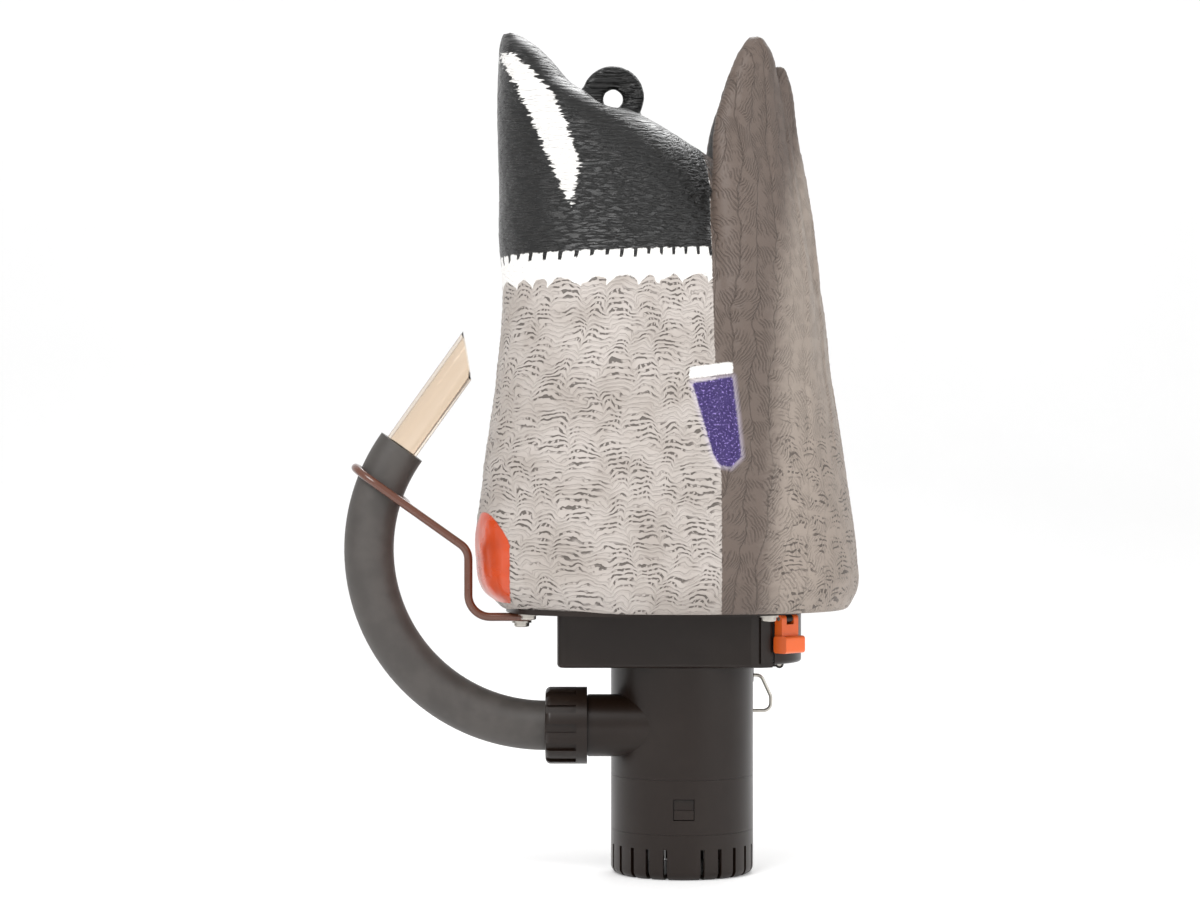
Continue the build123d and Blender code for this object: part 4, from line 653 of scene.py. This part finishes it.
@dataclass
class DuckSkin:
    """The duck's embossed and painted skin."""

    bottom: float = 137.1
    cell: float = 1.62
    body: list[tuple] = field(
        default_factory=lambda: [
            (-2.4, -91.0, 83.5, 76.0, 2.6),
            (0.0, -93.5, 85.0, 77.5, 2.6),
            (7.0, -100.0, 88.3, 81.0, 2.6),
            (24.0, -103.9, 88.4, 82.0, 2.6),
            (65.0, -101.0, 83.0, 79.5, 2.6),
            (115.0, -94.1, 74.7, 72.0, 2.6),
            (165.0, -91.3, 68.0, 61.0, 2.5),
            (183.0, -93.1, 62.0, 56.0, 2.4),
            (206.0, -93.1, 37.0, 50.0, 2.3),
            (230.0, -93.7, 8.5, 44.5, 2.2),
            (249.0, -94.1, -23.0, 39.5, 2.2),
            (263.0, -93.9, -55.0, 35.5, 2.2),
            (272.0, -93.5, -63.0, 31.5, 2.2),
            (282.5, -92.9, -73.5, 23.5, 2.2),
            (289.0, -91.5, -83.0, 11.5, 2.0),
        ]
    )
    wing: list[tuple] = field(
        default_factory=lambda: [
            (40.0, 42.0, 44.0, 26.0, 12.0, 34.0),
            (80.0, 42.5, 46.0, 27.0, 14.0, 35.0),
            (115.0, 42.0, 46.5, 28.0, 15.0, 36.0),
            (165.0, 39.5, 43.5, 27.5, 15.0, 37.0),
            (206.0, 36.0, 38.0, 25.5, 13.0, 40.0),
            (240.0, 34.0, 34.0, 23.0, 11.0, 42.0),
            (264.0, 35.0, 31.5, 14.5, 9.0, 42.0),
            (277.0, 35.8, 31.0, 8.5, 7.0, 42.0),
            (284.0, 35.6, 30.5, 3.5, 3.2, 42.0),
        ]
    )
    tertial: list[tuple] = field(
        default_factory=lambda: [
            (110.0, 50.0, 17.0, 21.0, 18.0, 0.0),
            (165.0, 50.0, 17.0, 18.5, 16.0, 0.0),
            (206.0, 49.5, 17.0, 13.5, 12.5, 0.0),
            (240.0, 49.0, 17.0, 8.3, 9.0, 0.0),
            (262.0, 48.8, 17.0, 5.2, 6.0, 0.0),
            (271.0, 48.5, 17.0, 2.4, 2.6, 0.0),
        ]
    )
    curl: tuple[float, float] = (-35.2, 394.8)
    curl_radius: float = 15.9
    curl_hole: float = 5.1

    def build(self, paint: bpy.types.Material) -> bpy.types.Object:
        """Builds, embosses and paints the skin, and hides the CAD skin.

        Args:
            paint: The duck's paint.

        Returns:
            The skin.
        """
        parts = [self._body()]
        for side in (-1, 1):
            parts.append(self._feather("wing", self.wing, side))
            parts.append(self._feather("tertial", self.tertial, side))
        skin = self._joined(parts)
        self._cut_saddle(skin)
        curl = self._curl()
        skin = self._joined([skin, curl])
        self._remesh(skin)
        self._emboss(skin.data)
        skin.data.shade_smooth()
        skin.data.materials.clear()
        skin.data.materials.append(paint)
        skin.name = "painted_skin"
        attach(skin, "decoy")
        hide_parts("duck_skin")
        LOG.info("%s: %d faces", skin.name, len(skin.data.polygons))
        return skin

    def _body(self) -> bpy.types.Object:
        """The body and tail as a closed loft."""
        rings = []
        for height, front, back, half, power in Shapes.resampled(self.body, LOFT_STEP):
            turn = np.linspace(0, 2 * math.pi, 128, endpoint=False)
            a, b = (back - front) / 2, half
            reach = (np.abs(np.cos(turn) / a) ** power + np.abs(np.sin(turn) / b) ** power) ** (
                -1 / power
            )
            x = (front + back) / 2 + reach * np.cos(turn)
            z = np.full_like(x, self.bottom + height)
            rings.append(np.stack([x, reach * np.sin(turn), z], 1))
        return Shapes.lofted("body", np.array(rings) * MM)

    def _feather(self, name: str, sections: list[tuple], side: int) -> bpy.types.Object:
        """A wing or tertial of one side as a closed loft.

        Args:
            name: The mesh's name.
            sections: Height, centre, half sizes and yaw of each section.
            side: -1 for the right side and 1 for the left.

        Returns:
            The new object.
        """
        rings = []
        for height, x, y, length, thickness, yaw in Shapes.resampled(sections, LOFT_STEP):
            turn = np.linspace(0, 2 * math.pi, 72, endpoint=False)
            along, across = length * np.cos(turn), thickness * np.sin(turn)
            c, s = math.cos(math.radians(yaw)), math.sin(math.radians(yaw))
            px = x + along * c + across * s
            py = side * (y - along * s + across * c)
            rings.append(np.stack([px, py, np.full_like(px, self.bottom + height)], 1))
        return Shapes.lofted(name, np.array(rings) * MM)

    def _curl(self) -> bpy.types.Object:
        """The curled feather: a dished ring on a neck, turned about its own axis."""
        profile = [
            (self.curl_hole, 2.6), (7.6, 3.0), (9.2, 3.7), (11.2, 3.1), (12.6, 4.4),
            (13.9, 4.1), (self.curl_radius, 2.2),
        ]
        outline = profile + [(r, -y) for r, y in reversed(profile)]
        mesh = bpy.data.meshes.new("curl")
        shape = bmesh.new()
        loops = []
        for k in range(CURL_STEPS):
            turn = 2 * math.pi * k / CURL_STEPS
            loops.append(
                [
                    shape.verts.new(
                        (
                            (self.curl[0] + r * math.cos(turn)) * MM,
                            y * MM,
                            (self.curl[1] - 1.2 * (r < 8) + r * math.sin(turn)) * MM,
                        )
                    )
                    for r, y in outline
                ]
            )
        for one, two in zip(loops, loops[1:] + loops[:1]):
            for j in range(len(outline)):
                k = (j + 1) % len(outline)
                shape.faces.new((one[j], one[k], two[k], two[j]))
        bmesh.ops.recalc_face_normals(shape, faces=shape.faces)
        shape.to_mesh(mesh)
        shape.free()
        made = bpy.data.objects.new("curl", mesh)
        bpy.context.scene.collection.objects.link(made)
        neck = []
        for height, half in ((-27.0, 13.0), (-18.0, 11.0), (-11.5, 8.0), (-8.5, 6.0)):
            turn = np.linspace(0, 2 * math.pi, 48, endpoint=False)
            x = self.curl[0] - 2.0 + half * np.cos(turn)
            y = 4.4 * np.sin(turn)
            neck.append(np.stack([x, y, np.full_like(x, self.curl[1] + height)], 1))
        return self._joined([made, Shapes.lofted("neck", np.array(neck) * MM)])

    def _cut_saddle(self, skin: bpy.types.Object) -> None:
        """Presses a shallow dip across the rump, so that the eye above it stays open."""
        centre = (self.curl[0], self.curl[1] + 5.0)
        for vertex in skin.data.vertices:
            dx, dz = vertex.co.x / MM - centre[0], vertex.co.z / MM - centre[1]
            away = math.hypot(dx, dz)
            if away < SADDLE_RADIUS:
                drop = math.sqrt(max(0.0, SADDLE_RADIUS**2 - dx * dx))
                vertex.co.z = (centre[1] - drop) * MM

    @staticmethod
    def _joined(parts: list[bpy.types.Object]) -> bpy.types.Object:
        """Joins objects into the first of them and returns it."""
        bpy.ops.object.select_all(action="DESELECT")
        for part in parts:
            part.select_set(True)
        bpy.context.view_layer.objects.active = parts[0]
        bpy.ops.object.join()
        return parts[0]

    def _remesh(self, skin: bpy.types.Object) -> None:
        """Turns the overlapping closed meshes into one surface of small even faces."""
        remesh = skin.modifiers.new("one surface", "REMESH")
        remesh.mode = "VOXEL"
        remesh.voxel_size = self.cell * MM
        smooth = skin.modifiers.new("blend", "SMOOTH")
        smooth.iterations = 3
        smooth.factor = 0.5
        bpy.context.view_layer.objects.active = skin
        for modifier in list(skin.modifiers):
            bpy.ops.object.modifier_apply(modifier=modifier.name)

    def _emboss(self, mesh: bpy.types.Mesh) -> None:
        """Moves vertices for the carved relief, and stores the painted zones as layers."""
        count = len(mesh.vertices)
        co = np.zeros(count * 3)
        mesh.vertices.foreach_get("co", co)
        co = co.reshape(-1, 3) / MM
        normal = np.zeros(count * 3)
        mesh.vertices.foreach_get("normal", normal)
        normal = normal.reshape(-1, 3)
        x, y, z = co.T
        side = np.abs(y)
        around = self._around(x, y)
        layers = self._zones(x, side, z, np.sign(y), normal)
        relief = self._relief(x, side, z, around, layers)
        co += normal * relief[:, None]
        mesh.vertices.foreach_set("co", (co * MM).ravel())
        Shapes.write_layer(mesh, "feather_u", around)
        Shapes.write_layer(mesh, "feather_v", z)
        for zone, values in layers.items():
            Shapes.write_layer(mesh, zone.value, values)
        mesh.update()

    @staticmethod
    def _around(x: np.ndarray, y: np.ndarray) -> np.ndarray:
        """Distance round the body from its back, mirrored across the middle, in mm."""
        turn = np.arctan2(np.abs(y), x + 5.0)
        return np.where(y < 0, 1.0, 1.02) * turn * 82.0

    def _zones(self, x, side, z, sign, normal) -> dict[Zone, np.ndarray]:
        """Signed distances to the edge of every painted zone, in mm.

        Args:
            x: Distance towards the back, per vertex.
            side: Distance from the middle plane.
            z: Height.
            sign: -1 on the right side and 1 on the left.
            normal: Normals.

        Returns:
            The distances by zone.
        """
        zones = {}
        edge_heights = [137, 200, 250, 300, 345, 358, 372, 388, 400]
        edge_places = [17.2, 17.0, 14.5, 13.2, 12.8, 11.0, 8.0, 4.0, 0.0]
        leading = np.interp(z, edge_heights, edge_places)
        zones[Zone.WING] = x - leading
        zones[Zone.BACK] = x - np.interp(z, [137, 220, 300, 350, 420], [40, 44, 47, 54, 80])
        streak = [
            (-93.5, 415.0), (-77.7, 384.6), (-69.2, 364.6), (-64.2, 352.1), (-55.8, 334.7),
            (-51.8, 357.1), (-57.8, 374.6), (-64.3, 391.0), (-76.7, 405.5), (-84.5, 413.5),
        ]
        zones[Zone.STREAK] = Shapes.inside_polygon(x, z, streak)
        foot = 1 - np.hypot((side - 35.0) / 26.0, np.maximum(z - 159.8, 0.0) / 24.0)
        zones[Zone.FOOT] = np.minimum(np.minimum(foot * 24.0, z - 139.0), -86.0 - x)
        speculum = [
            (3.0, 247.6), (22.6, 250.4), (26.6, 211.5), (21.5, 206.3), (16.0, 207.5), (13.0, 213.0),
        ]
        on_side = np.where(side > 45, 0.0, -30.0)
        zones[Zone.SPECULUM] = Shapes.inside_polygon(x, z, speculum) + on_side
        bar = [(1.4, 249.6), (2.2, 255.4), (22.6, 257.6), (22.8, 252.2)]
        zones[Zone.BAR] = Shapes.inside_polygon(x, z, bar) + on_side
        border = z - np.interp(x, [-100, -60, -20, 17, 30, 60], [312, 313, 314, 315, 316, 318])
        zones[Zone.BORDER] = border
        zones[Zone.TAIL] = np.minimum(border, 2.0 * (leading - x))
        # Painted shade: faces behind the wing's leading edge and above 350 mm that turn towards the
        # middle plane, where shade falls.
        facing_in = -normal[:, 1] * sign
        inner_shade = np.minimum(12.0 * (facing_in - 0.15), 0.5 * (z - 350.0))
        zones[Zone.INNER] = np.where(x > leading - 3.0, inner_shade, -12.0)
        return zones

    def _relief(self, x, side, z, around, layers) -> np.ndarray:
        """Carved heights along the normal, in mm.

        Args:
            x: Distance towards the back, per vertex.
            side: Distance from the middle plane.
            z: Height.
            around: Distance round the body.
            layers: The zones' signed distances.

        Returns:
            The height of each vertex.
        """
        flank = 0.5 * self._scallops(around, z, FEATHER_WIDTH, FEATHER_HEIGHT)
        waves = 0.16 * np.sin(2 * math.pi * (z + 1.3 * np.sin(around * 0.21)) / RIPPLE)
        wing = layers[Zone.WING]
        step = np.clip((wing + 1.5) / 3.0, 0, 1)
        fade = np.clip((z - 140) / 20, 0, 1) * np.clip((360 - z) / 12, 0, 1)
        edge = 0.9 * step * fade * (side > 20) * np.clip((58 - x) / 20, 0, 1)
        shafts = 0.7 * ((around + LAYER_LEAN * z) / FEATHER_WIDTH % 1.0) * np.clip(wing / 4, 0, 1)
        shafts *= np.clip((z - 200) / 30, 0, 1)
        tail = np.clip(layers[Zone.TAIL] / 10, 0, 1)
        slanted = around + 0.3 * z
        grooves = self._scallops(slanted, z, TAIL_FEATHER_WIDTH, TAIL_FEATHER_HEIGHT)
        grooves = 0.3 * grooves * tail
        foot = np.clip(layers[Zone.FOOT] / 3.0, 0, 1)
        lumps = np.array(
            [noise.noise(Vector((a * 0.05, b * 0.05, 0.3))) for a, b in zip(around, z)]
        )
        body = (flank + waves) * (1 - tail) * (1 - foot) * (1 - 0.6 * np.clip(wing / 3, 0, 1))
        low = np.clip((z - self.bottom - 1.0) / 6.0, 0, 1)
        low *= np.clip((np.hypot(x - self.curl[0], z - self.curl[1]) - 16.0) / 5.0, 0, 1)
        return low * (body + edge + shafts + grooves + 0.3 * lumps + 1.1 * foot)

    @staticmethod
    def _scallops(u: np.ndarray, v: np.ndarray, wide: float, high: float) -> np.ndarray:
        """Overlapping rounded feathers: near 1 at each tip, falling to 0 behind the next one.

        Args:
            u: Distance across.
            v: Height.
            wide: Width of a feather.
            high: Spacing of the rows.

        Returns:
            Heights from 0 to 1.
        """
        best = np.zeros_like(u)
        for shift in (0, 1):
            row = np.floor(v / high - 0.5 * shift) + 0.5 * shift
            local = v / high - row
            across = (u / wide + 0.5 * shift) % 1.0 - 0.5
            tip = 0.95 - 2.2 * across**2
            rise = np.clip((tip - local) / 0.12, 0, 1)
            best = np.maximum(best, rise * np.clip(local / 0.9, 0, 1))
        return best


@dataclass
class HardParts:
    """The pieces that keep their CAD shape: all but the duck's skin."""

    finishes: dict[str, object] = field(
        default_factory=lambda: {
            "dark_plastic": Finish("Dark moulded plastic", "1a100a", 0.33, specular=0.32),
            "orange_plastic": Finish(
                "Orange plastic", "e8621b", 0.34, coat=0.15, worn_colour="f0a070"
            ),
            "bright_steel": Finish(
                "Bright steel", "b9b4ac", 0.28, 1.0, bump=0.02, worn_colour="e0ddd6"
            ),
            "coated_wire": Finish("Coated wire", "5b3424", 0.27, coat=0.4, worn_colour="96604a"),
            "hose_rubber": RubberFinish("Hose", "3d3936", 0.5),
            "clear_tube": ClearTubeFinish(),
            "seal_rubber": RubberFinish("Seal rubber", "1c1b1a", 0.6),
            "bronze": Finish("Bronze", "a9803f", 0.35, 1.0),
            "copper": Finish("Copper", "b8653c", 0.3, 1.0),
            "laminated_iron": Finish("Laminated iron", "55555a", 0.5, 0.9),
            "magnet_ferrite": Finish("Ferrite", "2f2f33", 0.6, 0.1),
            "carbon": Finish("Carbon", "1a1a1b", 0.7),
            "board": Finish("Circuit board", "1d5a2e", 0.4, coat=0.3),
            "cell_metal": Finish("Cell can", "9fa2a6", 0.35, 1.0),
            "wrap": Finish("Battery wrap", "2c4a86", 0.35, coat=0.2),
            "white_plastic": Finish("White plastic", "d5d1c7", 0.4),
            "skin": RubberFinish("Plain skin", "a3968d", 0.6),
        }
    )

    def build(self, frame: dict, effects: SharedEffects) -> None:
        """Dresses every CAD node by its slot in the record.

        Args:
            effects: The shared node groups.
        """
        made = {name: finish.build(effects) for name, finish in self.finishes.items()}
        for part in frame["record"]["subparts"]:
            node = frame["nodes"][part["node"]]
            node.data.materials.clear()
            node.data.materials.append(made[part["material_slot"]])
            LOG.info("%s takes %s", part["node"], part["material_slot"])


@dataclass
class Hose:
    """What the hose is."""

    start: tuple[float, float, float] = (-0.0489, -0.0163, 0.076)
    bend_start: float = -0.0696
    bend_radius: float = 0.0888
    bend_angle: float = 125.6
    diameter: float = 0.025


@dataclass
class Studio:
    """A plain pale sweep, soft lights and the camera."""

    centre: tuple[float, float, float] = (-0.0418, 0.0, 0.2149)
    distance: float = 1.581
    lens: float = 93.0

    def build(self) -> None:
        """Builds the floor, the lights, the world and the camera."""
        self._sweep()
        self._light("key", (-0.7, -1.2, 1.35), (0.0, 0.0, 0.2), 0.9, 21.0)
        self._light("fill", (1.3, -1.0, 0.8), (0.0, 0.0, 0.2), 1.2, 9.0)
        self._light("back", (0.3, 1.1, 1.3), (0.0, 0.0, 0.3), 0.8, 9.0)
        world = bpy.data.worlds.new("studio")
        world.use_nodes = True
        world.node_tree.nodes["Background"].inputs["Color"].default_value = (1, 1, 1, 1)
        world.node_tree.nodes["Background"].inputs["Strength"].default_value = 0.75
        bpy.context.scene.world = world
        bpy.context.scene.view_settings.view_transform = "Standard"
        camera = bpy.data.cameras.new("camera")
        camera.lens = self.lens
        camera.sensor_width = 36.0
        made = bpy.data.objects.new("camera", camera)
        made.location = (self.centre[0], -self.distance, self.centre[2])
        made.rotation_euler = (math.pi / 2, 0, 0)
        bpy.context.scene.collection.objects.link(made)
        bpy.context.scene.camera = made

    def _sweep(self) -> None:
        """Builds the floor that curves up into a backdrop."""
        floor_end, bend = 1.6, 0.8
        line = [(-6.0, 0.0), (floor_end, 0.0)]
        for a in np.linspace(0.1, 1.57, 16):
            line.append((floor_end + bend * math.sin(a), bend - bend * math.cos(a)))
        line.append((floor_end + bend, 6.0))
        points = [(x, y, z) for x in (-7.0, 7.0) for y, z in line]
        count = len(line)
        faces = [(i, i + 1, count + i + 1, count + i) for i in range(count - 1)]
        mesh = bpy.data.meshes.new("sweep")
        mesh.from_pydata(points, [], faces)
        mesh.shade_smooth()
        made = bpy.data.objects.new("sweep", mesh)
        bpy.context.scene.collection.objects.link(made)
        sheet = SurfaceSheet("Pale paper")
        tone = sheet.noise(sheet.node("ShaderNodeTexCoord").outputs["Object"], 3.0)
        paper = sheet.finish(
            Base_Color=sheet.mix(tone, (0.86, 0.86, 0.86, 1), (0.9, 0.9, 0.9, 1)),
            Roughness=0.9,
            Emission_Color=(1.0, 1.0, 1.0, 1.0),
            Emission_Strength=0.12,
        )
        mesh.materials.append(paper)

    @staticmethod
    def _light(name: str, place: tuple, target: tuple, size: float, power: float) -> None:
        """Adds a square area light that faces a point.

        Args:
            name: The light's name.
            place: Where it stands.
            target: The point it faces.
            size: Its side, in metres.
            power: Its power, in watts.
        """
        lamp = bpy.data.lights.new(name, "AREA")
        lamp.size = size
        lamp.energy = power
        made = bpy.data.objects.new(name, lamp)
        made.location = place
        made.rotation_euler = (Vector(target) - Vector(place)).to_track_quat("-Z", "Y").to_euler()
        bpy.context.scene.collection.objects.link(made)


def clear_scene() -> None:
    """Removes whatever the start-up file holds."""
    for thing in list(bpy.data.objects):
        bpy.data.objects.remove(thing, do_unlink=True)


def main() -> None:
    """Builds every piece in order."""
    logging.basicConfig(level=logging.INFO, format="%(message)s")
    clear_scene()
    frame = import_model()
    effects = SharedEffects()
    HardParts().build(frame, effects)
    DuckSkin().build(PlumageFinish().build())
    Studio().build()


if __name__ == "__main__":
    main()
